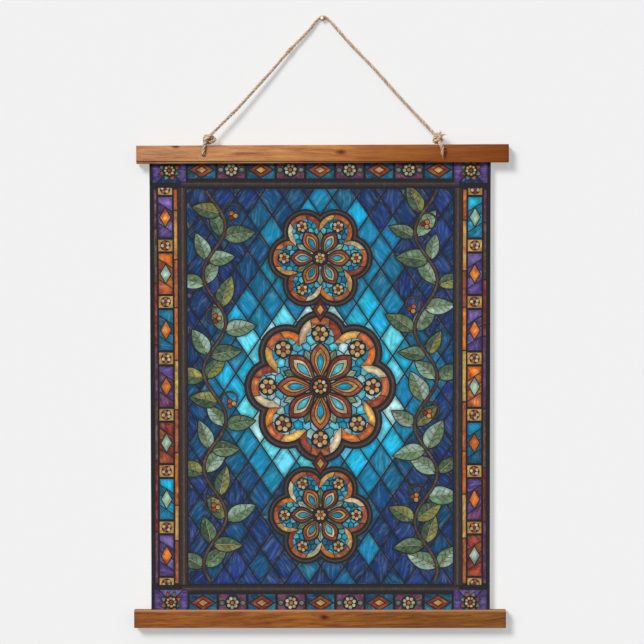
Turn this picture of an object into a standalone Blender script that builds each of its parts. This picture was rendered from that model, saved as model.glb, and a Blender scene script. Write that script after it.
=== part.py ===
"""Wall tapestry: a cloth clamped in two wooden hanger bars, hung by twine from a nail.

The origin is where the nail enters the wall. The wall is the plane y = 0, the front
faces -Y, +Z is up. All sizes are in metres.
"""
import math

import bmesh
import bpy
import numpy as np

NAME = "wall_tapestry"

# Hanger bars, each of a front and a back slat that clamp the cloth
BAR_LENGTH = 0.720
BAR_HEIGHT = 0.035
SLAT_DEPTH = 0.0092
SLAT_EDGE_RADIUS = 0.002
WALL_GAP = 0.006
CLAMP_GAP = 0.0016
TOP_BAR_TOP = -0.245
TOP_BAR_X = 0.0
TOP_BAR_TILT = math.radians(0.24)
BOTTOM_BAR_TOP = -1.145
BOTTOM_BAR_X = -0.0048

# Holes through the top bar for the twine
HOLE_X = 0.2304
HOLE_Z = -0.264
HOLE_RADIUS = 0.0045
HOLE_SIDES = 20

# Cloth, 26 by 36 inches
CLOTH_THICKNESS = 0.001
CLOTH_TOP = -0.2555
CLOTH_HEIGHT = 0.914
CLOTH_TOP_WIDTH = 0.661
CLOTH_BOTTOM_WIDTH = 0.656
CLOTH_TOP_X = -0.0048
CLOTH_BOTTOM_X = -0.0046
CLOTH_EDGE_DRAW = 0.0012
CLOTH_COLUMNS = 20
CLOTH_ROWS = 28
WAVE_DEPTH = 0.0026
WAVE_FADE = 0.120

# Twine of three plies
TWINE_RADIUS = 0.0025
PLY_DEPTH = 0.00042
TWINE_PITCH = 0.024
SECTION_POINTS = 9
PLIES = 3
GAP = 0.0003

# Nail, turned about its own axis
SHANK_RADIUS = 0.001
HEAD_RADIUS = 0.0041
HEAD_FRONT = 0.0097
HEAD_BACK = 0.0073
SHANK_IN_WALL = 0.021
POINT_LENGTH = 0.003
NAIL_SIDES = 16

# Places worked out from the sizes above
SLAT_BACK_Y = -WALL_GAP
CLOTH_Y = SLAT_BACK_Y - SLAT_DEPTH - CLAMP_GAP / 2
RING_STEP = TWINE_PITCH / SECTION_POINTS
KNOT_Y = -0.0195
NAIL_TWINE_Y = -0.0042

# The twine's route, chosen by hand, as x and z from the left knot over the nail
TWINE_ROUTE = (
    (-0.2104, -0.2192),
    (-0.1882, -0.1966),
    (-0.1586, -0.1694),
    (-0.1289, -0.1349),
    (-0.0993, -0.1022),
    (-0.0623, -0.0594),
    (-0.0412, -0.0383),
    (-0.0232, -0.0187),
    (-0.0110, -0.0034),
    (0.0000, 0.0039),
    (0.0110, -0.0014),
    (0.0234, -0.0148),
    (0.0364, -0.0297),
    (0.0494, -0.0444),
    (0.0702, -0.0662),
    (0.1014, -0.0987),
    (0.1448, -0.1476),
    (0.1810, -0.1866),
    (0.2135, -0.2211),
)

# Thick places along the twine: x of the middle, half length and how much thicker
SLUBS = (
    (-0.1700, 0.009, 0.16),
    (-0.1160, 0.012, 0.10),
    (-0.0640, 0.006, 0.34),
    (0.0560, 0.010, 0.12),
    (0.1250, 0.012, 0.10),
    (0.1920, 0.008, 0.14),
)

# Knots: centre x and z, how far the figure is stretched in x and z, and its turn
LEFT_KNOT = {"x": -0.2195, "z": -0.2342, "wide": 1.30, "tall": 0.88, "turn": 0.0}
RIGHT_KNOT = {"x": 0.2228, "z": -0.2328, "wide": 0.86, "tall": 1.07, "turn": math.radians(-30)}
KNOT_RING = 0.0057
KNOT_WAVE = 0.0028
KNOT_DEPTH = 0.0029
KNOT_STEPS = 36
KNOT_THICKNESS = 1.2

# How a loop runs from its knot down the bar's front, through the hole and up its back:
# how far it has come from the knot's centre to the hole's in x, then y, z and thickness
LOOP_ROUTE = (
    (0.10, -0.0190, -0.2350, 1.20),
    (0.40, -0.0236, -0.2380, 1.20),
    (0.72, -0.0281, -0.2424, 1.22),
    (0.88, -0.0299, -0.2480, 1.25),
    (0.96, -0.0297, -0.2540, 1.20),
    (1.00, -0.0292, -0.2586, 1.05),
    (1.00, -0.0281, -0.2612, 1.00),
    (1.00, -0.0255, -0.2624, 1.00),
    (1.00, -0.0210, -0.2625, 1.00),
    (1.00, -0.0160, -0.2625, 1.00),
    (1.00, -0.0110, -0.2625, 1.00),
    (1.00, -0.0065, -0.2624, 1.00),
    (1.00, -0.0039, -0.2612, 1.00),
    (1.00, -0.0029, -0.2586, 1.00),
    (0.96, -0.0028, -0.2530, 1.00),
    (0.88, -0.0029, -0.2472, 1.00),
    (0.66, -0.0050, -0.2422, 1.05),
    (0.35, -0.0110, -0.2378, 1.10),
    (0.10, -0.0175, -0.2350, 1.20),
)

# The right knot's cut end, frayed, hanging down the front: x, y, z and thickness
TAIL_ROUTE = (
    (0.2230, -0.0215, -0.2350, 1.10),
    (0.2256, -0.0268, -0.2390, 1.20),
    (0.2282, -0.0322, -0.2446, 1.25),
    (0.2302, -0.0349, -0.2510, 1.30),
    (0.2316, -0.0354, -0.2570, 1.50),
    (0.2321, -0.0350, -0.2622, 1.20),
    (0.2320, -0.0340, -0.2668, 0.70),
    (0.2319, -0.0330, -0.2704, 0.22),
)


def clear_scene():
    """Take away whatever the scene holds."""
    for item in list(bpy.data.objects):
        bpy.data.objects.remove(item, do_unlink=True)


def new_collection(name):
    """Make a collection in the scene."""
    collection = bpy.data.collections.new(name)
    bpy.context.scene.collection.children.link(collection)
    return collection


def material(name, colour, roughness, metallic=0.0):
    """Make a plain Principled material."""
    result = bpy.data.materials.new(name)
    result.use_nodes = True
    shader = result.node_tree.nodes["Principled BSDF"]
    shader.inputs["Base Color"].default_value = (*colour, 1.0)
    shader.inputs["Roughness"].default_value = roughness
    shader.inputs["Metallic"].default_value = metallic
    result.diffuse_color = (*colour, 1.0)
    return result


def cloth_material():
    """Printed cloth, mostly deep blue."""
    return material("cloth_print", (0.045, 0.12, 0.20), 0.85)


def wood_material(name, colour):
    """Oiled red-brown wood."""
    return material(name, colour, 0.45)


def twine_material(name):
    """Raw jute."""
    return material(name, (0.50, 0.38, 0.25), 0.9)


def brass_material():
    """Polished brass."""
    return material("brass", (0.80, 0.58, 0.28), 0.3, 1.0)


def add_object(name, data, collection, finish=None):
    """Put a mesh or curve into a collection under its own name."""
    item = bpy.data.objects.new(name, data)
    collection.objects.link(item)
    if finish is not None:
        data.materials.append(finish)
    return item


def add_boolean(item, other, operation, use_self=False):
    """Cut or join an item with another by an exact Boolean."""
    modifier = item.modifiers.new(operation.lower(), "BOOLEAN")
    modifier.operation = operation
    modifier.solver = "EXACT"
    modifier.use_self = use_self
    modifier.object = other
    return modifier


def evaluated_mesh(item):
    """Return an item's evaluated shape as a new mesh with its doubles merged."""
    graph = bpy.context.evaluated_depsgraph_get()
    mesh = bpy.data.meshes.new_from_object(item.evaluated_get(graph))
    work = bmesh.new()
    work.from_mesh(mesh)
    bmesh.ops.remove_doubles(work, verts=work.verts, dist=0.00001)
    bmesh.ops.recalc_face_normals(work, faces=work.faces)
    work.to_mesh(mesh)
    work.free()
    return mesh


def shell_volume(faces):
    """Return the signed volume that a closed set of faces holds."""
    total = 0.0
    for face in faces:
        corners = [loop.vert.co for loop in face.loops]
        for index in range(1, len(corners) - 1):
            total += corners[0].dot(corners[index].cross(corners[index + 1])) / 6
    return total


def face_shells(work):
    """Sort a mesh's faces into shells joined by their edges."""
    left = set(work.faces)
    shells = []
    while left:
        ahead = [left.pop()]
        shell = []
        while ahead:
            face = ahead.pop()
            shell.append(face)
            for edge in face.edges:
                for other in edge.link_faces:
                    if other in left:
                        left.remove(other)
                        ahead.append(other)
        shells.append(shell)
    return shells


def fill_pockets(item):
    """Apply an item's Booleans and keep its outer shell, with no hollow left inside."""
    bpy.context.view_layer.update()
    mesh = evaluated_mesh(item)
    item.modifiers.clear()
    work = bmesh.new()
    work.from_mesh(mesh)
    shells = sorted(face_shells(work), key=shell_volume)
    inner = [face for shell in shells[:-1] for face in shell]
    bmesh.ops.delete(work, geom=inner, context="FACES")
    work.to_mesh(mesh)
    work.free()
    item.data = mesh


def smooth_route(points, samples=24):
    """Run a Catmull-Rom curve through the points, each a row of numbers."""
    points = np.array(points, dtype=float)
    before = 2 * points[0] - points[1]
    after = 2 * points[-1] - points[-2]
    padded = np.vstack([before, points, after])
    rows = []
    for start in range(len(points) - 1):
        a, b, c, d = padded[start:start + 4]
        for share in np.linspace(0.0, 1.0, samples, endpoint=False):
            rows.append(0.5 * (2 * b + (c - a) * share
                               + (2 * a - 5 * b + 4 * c - d) * share ** 2
                               + (3 * b - a - 3 * c + d) * share ** 3))
    rows.append(points[-1])
    return np.array(rows)


def even_steps(path, step):
    """Space a path's rows evenly, about a step apart."""
    runs = np.linalg.norm(np.diff(path[:, :3], axis=0), axis=1)
    reach = np.concatenate([[0.0], np.cumsum(runs)])
    count = max(2, round(reach[-1] / step) + 1)
    marks = np.linspace(0.0, reach[-1], count)
    return np.stack([np.interp(marks, reach, column) for column in path.T], axis=1)


def ply_section(cutters):
    """Draw the twine's section, a rounded outline with one lobe for each ply."""
    outline = bpy.data.curves.new("twine_section", "CURVE")
    outline.dimensions = "2D"
    spline = outline.splines.new("POLY")
    spline.points.add(SECTION_POINTS - 1)
    for index, point in enumerate(spline.points):
        angle = -2 * math.pi * index / SECTION_POINTS
        lobe = 0.5 - 0.5 * math.cos(PLIES * angle)
        radius = TWINE_RADIUS - PLY_DEPTH * lobe
        point.co = (radius * math.cos(angle), radius * math.sin(angle), 0.0, 1.0)
    spline.use_cyclic_u = True
    item = add_object("twine_section", outline, cutters)
    hide_cutter(item)
    return item


def hide_cutter(item):
    """Keep a guide or cutter out of the render."""
    item.hide_render = True
    item.display_type = "WIRE"


def strand(name, rows, section, collection, finish, closed=False):
    """Sweep the twisted section along even rows of x, y, z and thickness."""
    curve = bpy.data.curves.new(name, "CURVE")
    curve.dimensions = "3D"
    curve.twist_mode = "MINIMUM"
    curve.bevel_mode = "OBJECT"
    curve.bevel_object = section
    curve.use_fill_caps = not closed
    spline = curve.splines.new("POLY")
    spline.points.add(len(rows) - 1)
    for index, point in enumerate(spline.points):
        x, y, z, thickness = rows[index]
        point.co = (x, y, z, 1.0)
        point.tilt = 2 * math.pi * index / SECTION_POINTS
        point.radius = thickness
    spline.use_cyclic_u = closed
    return add_object(name, curve, collection, finish)


def strand_solid(name, rows, section, collection, finish, closed=False):
    """Make a strand and turn it into a welded mesh, so that it can be joined."""
    curve = strand(name + "_line", rows, section, collection, finish, closed)
    bpy.context.view_layer.update()
    mesh = evaluated_mesh(curve)
    item = bpy.data.objects.new(name, mesh)
    collection.objects.link(item)
    item.matrix_world = curve.matrix_world.copy()
    bpy.data.objects.remove(curve, do_unlink=True)
    return item


def knot_path(knot):
    """Wind a strand round and through itself, as a trefoil seen from the front."""
    rows = []
    for index in range(KNOT_STEPS):
        turn = 2 * math.pi * index / KNOT_STEPS
        reach = KNOT_RING + KNOT_WAVE * math.cos(3 * turn)
        angle = 2 * turn + knot["turn"]
        rows.append((knot["x"] + knot["wide"] * reach * math.cos(angle),
                     KNOT_Y + KNOT_DEPTH * math.sin(3 * turn),
                     knot["z"] + knot["tall"] * reach * math.sin(angle),
                     KNOT_THICKNESS))
    return np.array(rows)


def lead_path(knot, end, before_end):
    """Lead the twine's end straight on into the knot, a small gap after it stops."""
    away = (end - before_end)[:3]
    away /= np.linalg.norm(away)
    start = end[:3] + away * GAP
    route = ((*start, 1.0),
             (*(start + away * RING_STEP), 1.0),
             (*(start + away * 2.2 * RING_STEP), 1.1),
             (knot["x"], KNOT_Y, knot["z"], KNOT_THICKNESS))
    return even_steps(smooth_route(route), RING_STEP)


def loop_path(knot, hole_x):
    """Run the loop from the knot through the bar's hole and back up."""
    rows = [(knot["x"] + share * (hole_x - knot["x"]), y, z, thickness)
            for share, y, z, thickness in LOOP_ROUTE]
    return even_steps(smooth_route(rows), RING_STEP)


def tail_path():
    """Hang the frayed tail down the front of the bar."""
    return even_steps(smooth_route(TAIL_ROUTE), RING_STEP)


def make_tie(name, knot, twine_end, hole_x, section, parts, cutters, finish, tail):
    """Join the knot, its loop, its lead and any tail into one solid."""
    solid = strand_solid(name, knot_path(knot), section, parts, finish, closed=True)
    pieces = [
        strand_solid(name + "_lead", lead_path(knot, *twine_end), section, cutters, None),
        strand_solid(name + "_loop", loop_path(knot, hole_x), section, cutters, None),
    ]
    if tail:
        pieces.append(strand_solid(name + "_tail", tail_path(), section, cutters, None))
    for piece in pieces:
        hide_cutter(piece)
        add_boolean(solid, piece, "UNION", use_self=True)
    fill_pockets(solid)
    return solid


def twine_path():
    """Work out the twine's centre line from the left knot over the nail to the right."""
    half_span = abs(TWINE_ROUTE[0][0])
    rows = []
    for x, z in TWINE_ROUTE:
        share = min(1.0, abs(x) / half_span)
        rows.append((x, NAIL_TWINE_Y + share * (KNOT_Y - NAIL_TWINE_Y), z, 1.0))
    path = even_steps(smooth_route(rows), RING_STEP)
    for middle, half_length, extra in SLUBS:
        path[:, 3] += extra * np.exp(-((path[:, 0] - middle) / half_length) ** 2)
    return path


def make_slat(name, length, y_back, finish, parts):
    """Make one slat, its back face at y_back, about its own centre in x and z."""
    bpy.ops.mesh.primitive_cube_add(size=1.0)
    item = bpy.context.object
    item.name = name
    item.data.name = name
    item.scale = (length, SLAT_DEPTH, BAR_HEIGHT)
    bpy.ops.object.transform_apply(location=False, rotation=False, scale=True)
    item.location = (0.0, y_back - SLAT_DEPTH / 2, 0.0)
    item.data.materials.append(finish)
    edge = item.modifiers.new("rounded_edges", "BEVEL")
    edge.width = SLAT_EDGE_RADIUS
    edge.segments = 2
    for collection in list(item.users_collection):
        collection.objects.unlink(item)
    parts.objects.link(item)
    return item


def make_bar(prefix, centre_x, top_z, tilt, finishes, parts):
    """Make a hanger bar, a front and a back slat carried by one empty."""
    carrier = bpy.data.objects.new(prefix + "_bar", None)
    parts.objects.link(carrier)
    carrier.location = (centre_x, 0.0, top_z - BAR_HEIGHT / 2)
    carrier.rotation_euler.y = -tilt
    back = make_slat(prefix + "_back_slat", BAR_LENGTH, SLAT_BACK_Y, finishes[1], parts)
    front_y = CLOTH_Y - CLAMP_GAP / 2
    front = make_slat(prefix + "_front_slat", BAR_LENGTH, front_y, finishes[0], parts)
    back.parent = carrier
    front.parent = carrier
    return front, back


def hole_cutter(name, x, cutters):
    """Make a cylinder along Y that drills one hole for the twine."""
    mesh = bpy.data.meshes.new(name)
    work = bmesh.new()
    bmesh.ops.create_cone(work, cap_ends=True, segments=HOLE_SIDES, radius1=HOLE_RADIUS,
                          radius2=HOLE_RADIUS, depth=4 * SLAT_DEPTH)
    work.to_mesh(mesh)
    work.free()
    item = add_object(name, mesh, cutters)
    item.location = (x, CLOTH_Y, HOLE_Z)
    item.rotation_euler.x = math.pi / 2
    hide_cutter(item)
    return item


def wave(x, down):
    """Say how far the hung cloth stands off its plane, held flat at both bars."""
    held = min(down, CLOTH_HEIGHT - down)
    clamped = CLOTH_TOP - (TOP_BAR_TOP - BAR_HEIGHT)
    free = max(0.0, min(1.0, (held - clamped) / WAVE_FADE))
    fade = free * free * (3 - 2 * free)
    across = x / CLOTH_TOP_WIDTH
    along = down / CLOTH_HEIGHT
    swell = 0.55 * math.sin(2 * math.pi * (0.8 * across + 0.55 * along + 0.10))
    ripple = 0.30 * math.sin(2 * math.pi * (2.1 * across - 0.40 * along + 0.35))
    edge = 0.35 * abs(2 * across) ** 3 * math.sin(2 * math.pi * (1.6 * along + 0.2))
    return WAVE_DEPTH * fade * (swell + ripple + edge)


def make_cloth(parts, finish):
    """Hang the cloth as a thin sheet with drawn-in sides and soft waves."""
    mesh = bpy.data.meshes.new("cloth")
    work = bmesh.new()
    bmesh.ops.create_grid(work, x_segments=CLOTH_COLUMNS, y_segments=CLOTH_ROWS, size=0.5)
    for vertex in work.verts:
        along = 0.5 - vertex.co.y
        width = CLOTH_TOP_WIDTH + along * (CLOTH_BOTTOM_WIDTH - CLOTH_TOP_WIDTH)
        width -= 2 * CLOTH_EDGE_DRAW * math.sin(math.pi * along)
        centre = CLOTH_TOP_X + along * (CLOTH_BOTTOM_X - CLOTH_TOP_X)
        x = vertex.co.x * width
        down = along * CLOTH_HEIGHT
        vertex.co = (centre + x, CLOTH_Y + wave(x, down), CLOTH_TOP - down)
    work.to_mesh(mesh)
    work.free()
    mesh.shade_smooth()
    item = add_object("cloth", mesh, parts, finish)
    shell = item.modifiers.new("thickness", "SOLIDIFY")
    shell.thickness = CLOTH_THICKNESS
    shell.offset = 0.0
    return item


def nail_profile():
    """Return radius and height along the nail, from the head's middle to the point."""
    dome = HEAD_FRONT - HEAD_BACK
    rows = []
    for step in range(6):
        angle = math.pi / 2 * step / 5
        rows.append((HEAD_RADIUS * math.sin(angle),
                     HEAD_FRONT - dome * 0.85 * (1 - math.cos(angle))))
    rows.append((HEAD_RADIUS * 0.94, HEAD_BACK))
    rows.append((SHANK_RADIUS, HEAD_BACK - 0.0002))
    rows.append((SHANK_RADIUS, -SHANK_IN_WALL + POINT_LENGTH))
    rows.append((0.0, -SHANK_IN_WALL))
    return rows


def make_nail(parts, finish):
    """Turn the nail about its axis, with its head to the front."""
    mesh = bpy.data.meshes.new("nail")
    rows = nail_profile()
    mesh.from_pydata([(radius, 0.0, height) for radius, height in rows],
                     [(index, index + 1) for index in range(len(rows) - 1)], [])
    item = add_object("nail", mesh, parts, finish)
    turned = item.modifiers.new("turned", "SCREW")
    turned.steps = NAIL_SIDES
    turned.render_steps = NAIL_SIDES
    turned.use_merge_vertices = True
    turned.merge_threshold = 0.00001
    item.rotation_euler.x = math.pi / 2
    return item


def main():
    """Build the whole tapestry."""
    clear_scene()
    parts = new_collection(NAME)
    cutters = new_collection("cutters")

    top_finishes = (wood_material("wood_top_front", (0.28, 0.12, 0.055)),
                    wood_material("wood_top_back", (0.26, 0.11, 0.05)))
    bottom_finishes = (wood_material("wood_bottom_front", (0.24, 0.10, 0.045)),
                       wood_material("wood_bottom_back", (0.22, 0.09, 0.04)))
    top_slats = make_bar("top", TOP_BAR_X, TOP_BAR_TOP, TOP_BAR_TILT, top_finishes, parts)
    make_bar("bottom", BOTTOM_BAR_X, BOTTOM_BAR_TOP, 0.0, bottom_finishes, parts)
    cloth = make_cloth(parts, cloth_material())

    for side, hole_x in (("left", -HOLE_X), ("right", HOLE_X)):
        cutter = hole_cutter("hole_" + side, hole_x, cutters)
        for item in (*top_slats, cloth):
            add_boolean(item, cutter, "DIFFERENCE")

    section = ply_section(cutters)
    path = twine_path()
    strand("twine", path, section, parts, twine_material("jute_twine"))
    make_tie("tie_left", LEFT_KNOT, path[:2], -HOLE_X, section, parts, cutters,
             twine_material("jute_left"), tail=False)
    make_tie("tie_right", RIGHT_KNOT, path[:-3:-1], HOLE_X, section, parts, cutters,
             twine_material("jute_right"), tail=True)
    make_nail(parts, brass_material())


main()
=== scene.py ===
"""Looks of a printed wall tapestry in two wooden bars, hung by jute twine from a nail.

Lengths are in metres unless a name says otherwise. The frame's origin is where the nail
enters the wall, the wall is the plane y = 0, the front faces -Y and +Z is up.
"""
import logging
import math
import random
from collections.abc import Iterable, Sequence
from dataclasses import dataclass, field
from enum import Enum

import bmesh
import bpy
import numpy as np
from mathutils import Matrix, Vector, noise
from mathutils.geometry import delaunay_2d_cdt
from mathutils.kdtree import KDTree


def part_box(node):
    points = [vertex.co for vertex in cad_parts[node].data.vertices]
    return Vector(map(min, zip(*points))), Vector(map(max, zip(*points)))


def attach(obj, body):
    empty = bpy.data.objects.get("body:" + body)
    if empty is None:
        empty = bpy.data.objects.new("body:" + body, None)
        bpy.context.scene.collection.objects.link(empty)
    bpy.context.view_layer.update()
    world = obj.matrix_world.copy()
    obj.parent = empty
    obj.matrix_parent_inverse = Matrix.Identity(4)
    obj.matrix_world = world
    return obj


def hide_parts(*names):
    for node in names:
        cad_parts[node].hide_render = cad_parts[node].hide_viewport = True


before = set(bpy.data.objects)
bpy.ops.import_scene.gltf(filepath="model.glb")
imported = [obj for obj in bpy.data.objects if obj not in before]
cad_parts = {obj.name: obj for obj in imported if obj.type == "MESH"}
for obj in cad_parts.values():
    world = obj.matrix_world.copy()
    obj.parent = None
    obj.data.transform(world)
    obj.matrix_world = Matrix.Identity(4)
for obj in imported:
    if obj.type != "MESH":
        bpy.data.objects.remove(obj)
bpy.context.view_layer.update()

BODY = "root"
LOG = logging.getLogger("tapestry")

Colour = tuple[float, float, float]
Point = tuple[float, float]
Loop = np.ndarray

# Places shared with the solids
WALL_GAP = 0.006
SLAT_DEPTH = 0.0092
CLAMP_GAP = 0.0016
CLOTH_Y = -WALL_GAP - SLAT_DEPTH - CLAMP_GAP / 2
HOLE_X = 0.2304
HOLE_Z = -0.264
HOLE_RADII = {-1: 0.0041, 1: 0.0029}
KNOT_Y = -0.0195
NAIL_TWINE_Y = -0.0042
TWINE_PITCH = 0.024
MM = 0.001

# Depth of the point that the camera and the lights face
AIM_Y = -0.02


def linear(red: float, green: float, blue: float) -> Colour:
    """Turn screen values from 0 to 255 into linear light from 0 to 1."""
    shares = (red / 255, green / 255, blue / 255)
    return tuple(share / 12.92 if share <= 0.04045 else ((share + 0.055) / 1.055) ** 2.4
                 for share in shares)


class Value:
    """A node's output, which goes into sums as a number does."""

    def __init__(self, tree: "Tree", socket: bpy.types.NodeSocket) -> None:
        """Keep the output and its tree."""
        self.tree = tree
        self.socket = socket

    def __add__(self, other: "Feed") -> "Value":
        """Add."""
        return self.tree.math("ADD", self, other)

    def __sub__(self, other: "Feed") -> "Value":
        """Subtract."""
        return self.tree.math("SUBTRACT", self, other)

    def __rsub__(self, other: float) -> "Value":
        """Subtract from a number."""
        return self.tree.math("SUBTRACT", other, self)

    def __mul__(self, other: "Feed") -> "Value":
        """Multiply."""
        return self.tree.math("MULTIPLY", self, other)

    def __truediv__(self, other: "Feed") -> "Value":
        """Divide."""
        return self.tree.math("DIVIDE", self, other)


Feed = Value | bpy.types.NodeSocket | float | tuple


class Tree:
    """Builds a node tree in few words."""

    def __init__(self, tree: bpy.types.NodeTree) -> None:
        """Take the tree to build."""
        self.tree = tree

    def node(self, kind: str, feeds: dict | None = None, **settings: object) -> bpy.types.Node:
        """Add a node.

        Args:
            kind: The node's type.
            feeds: What goes into each enabled socket, by name or number.
            **settings: The node's own properties.

        Returns:
            The new node.
        """
        made = self.tree.nodes.new(kind)
        for key, value in settings.items():
            setattr(made, key, value)
        for key, value in (feeds or {}).items():
            if isinstance(key, int):
                socket = made.inputs[key]
            else:
                socket = next(item for item in made.inputs if item.name == key and item.enabled)
            self.feed(socket, value)
        return made

    def feed(self, socket: bpy.types.NodeSocket, value: Feed) -> None:
        """Link a socket or set its value."""
        if isinstance(value, Value):
            value = value.socket
        if isinstance(value, bpy.types.NodeSocket):
            self.tree.links.new(value, socket)
        elif socket.type == "RGBA" and len(value) == 3:
            socket.default_value = (*value, 1.0)
        else:
            socket.default_value = value

    def value(self, kind: str, feeds: dict | None = None, output: str | None = None,
              **settings: object) -> Value:
        """Add a node and return an output by name, or else its first enabled one."""
        outputs = self.node(kind, feeds, **settings).outputs
        return Value(self, next(item for item in outputs
                                if item.enabled and output in (None, item.name)))

    def math(self, operation: str, *values: Feed) -> Value:
        """Work out one number from others."""
        return self.value("ShaderNodeMath", dict(enumerate(values)), operation=operation)

    def combine(self, x: Feed, y: Feed, z: Feed) -> Value:
        """Make a vector of three numbers."""
        return self.value("ShaderNodeCombineXYZ", {0: x, 1: y, 2: z})


class Wiring(Tree):
    """Builds a material's node tree round its Principled shader."""

    def __init__(self, name: str) -> None:
        """Start a material of this name."""
        self.material = bpy.data.materials.new(name)
        self.material.use_nodes = True
        super().__init__(self.material.node_tree)
        self.shader = self.tree.nodes["Principled BSDF"]

    def remap(self, value: Feed, low: float, high: float, to_low: float = 0.0,
              to_high: float = 1.0, smooth: bool = False) -> Value:
        """Move a range of values to another, clamped at both ends."""
        return self.value("ShaderNodeMapRange", {0: value, 1: low, 2: high, 3: to_low, 4: to_high},
                          interpolation_type="SMOOTHSTEP" if smooth else "LINEAR")

    def mix(self, share: Feed, first: Feed, second: Feed, blend: str = "MIX") -> Value:
        """Mix two colours."""
        made = self.node("ShaderNodeMix", data_type="RGBA", blend_type=blend)
        for number, feed in ((0, share), (6, first), (7, second)):
            self.feed(made.inputs[number], feed)
        return Value(self, made.outputs[2])

    def tinted(self, colour: Feed, gains: Feed) -> Value:
        """Multiply a colour by another, or by one number."""
        if isinstance(gains, Value):
            gains = self.combine(gains, gains, gains)
        return self.mix(1.0, colour, gains, "MULTIPLY")

    def far(self, across: Value, up: Value) -> Value:
        """Return how far away a place is, from its two distances."""
        return self.math("SQRT", across * across + up * up)

    def object_place(self) -> tuple[Value, Value, Value]:
        """Return the object coordinates as x, y and z in millimetres."""
        place = self.value("ShaderNodeTexCoord", output="Object")
        scaled = self.value("ShaderNodeVectorMath", {0: place, "Scale": 1 / MM}, operation="SCALE")
        split = self.node("ShaderNodeSeparateXYZ", {0: scaled})
        return tuple(Value(self, part) for part in split.outputs)

    def noise(self, place: Feed, scale: float, detail: float = 2.0, roughness: float = 0.5,
              distortion: float = 0.0) -> Value:
        """Return fractal noise from 0 to 1 at a vector or at three numbers."""
        place = self.combine(*place) if isinstance(place, tuple) else place
        return self.value("ShaderNodeTexNoise", {"Vector": place, "Scale": scale, "Detail": detail,
                                                 "Roughness": roughness, "Distortion": distortion})

    def ramp(self, value: Feed, stops: Sequence[tuple[float, Colour]]) -> Value:
        """Read a colour from a ramp, given each stop's place and colour in order."""
        made = self.node("ShaderNodeValToRGB", {0: value})
        elements = made.color_ramp.elements
        while len(elements) < len(stops):
            elements.new(0.5)
        for element, (place, colour) in zip(elements, stops):
            element.position = place
            element.color = (*colour, 1.0)
        return Value(self, made.outputs["Color"])

    def attribute(self, name: str, output: str = "Fac") -> Value:
        """Read one of the piece's own attributes."""
        return self.value("ShaderNodeAttribute", output=output, attribute_name=name)

    def bump(self, height: Feed, distance: float, strength: float = 1.0) -> None:
        """Raise the surface by a height from 0 to 1, times a distance in metres."""
        feeds = {"Height": height, "Distance": distance, "Strength": strength}
        self.feed(self.shader.inputs["Normal"], self.value("ShaderNodeBump", feeds))

    def finish(self, colour: Feed, **others: Feed) -> bpy.types.Material:
        """Feed the shader its colour and its other inputs, named with underscores."""
        self.feed(self.shader.inputs["Base Color"], colour)
        for name, value in others.items():
            self.feed(self.shader.inputs[name.replace("_", " ")], value)
        return self.material


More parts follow.
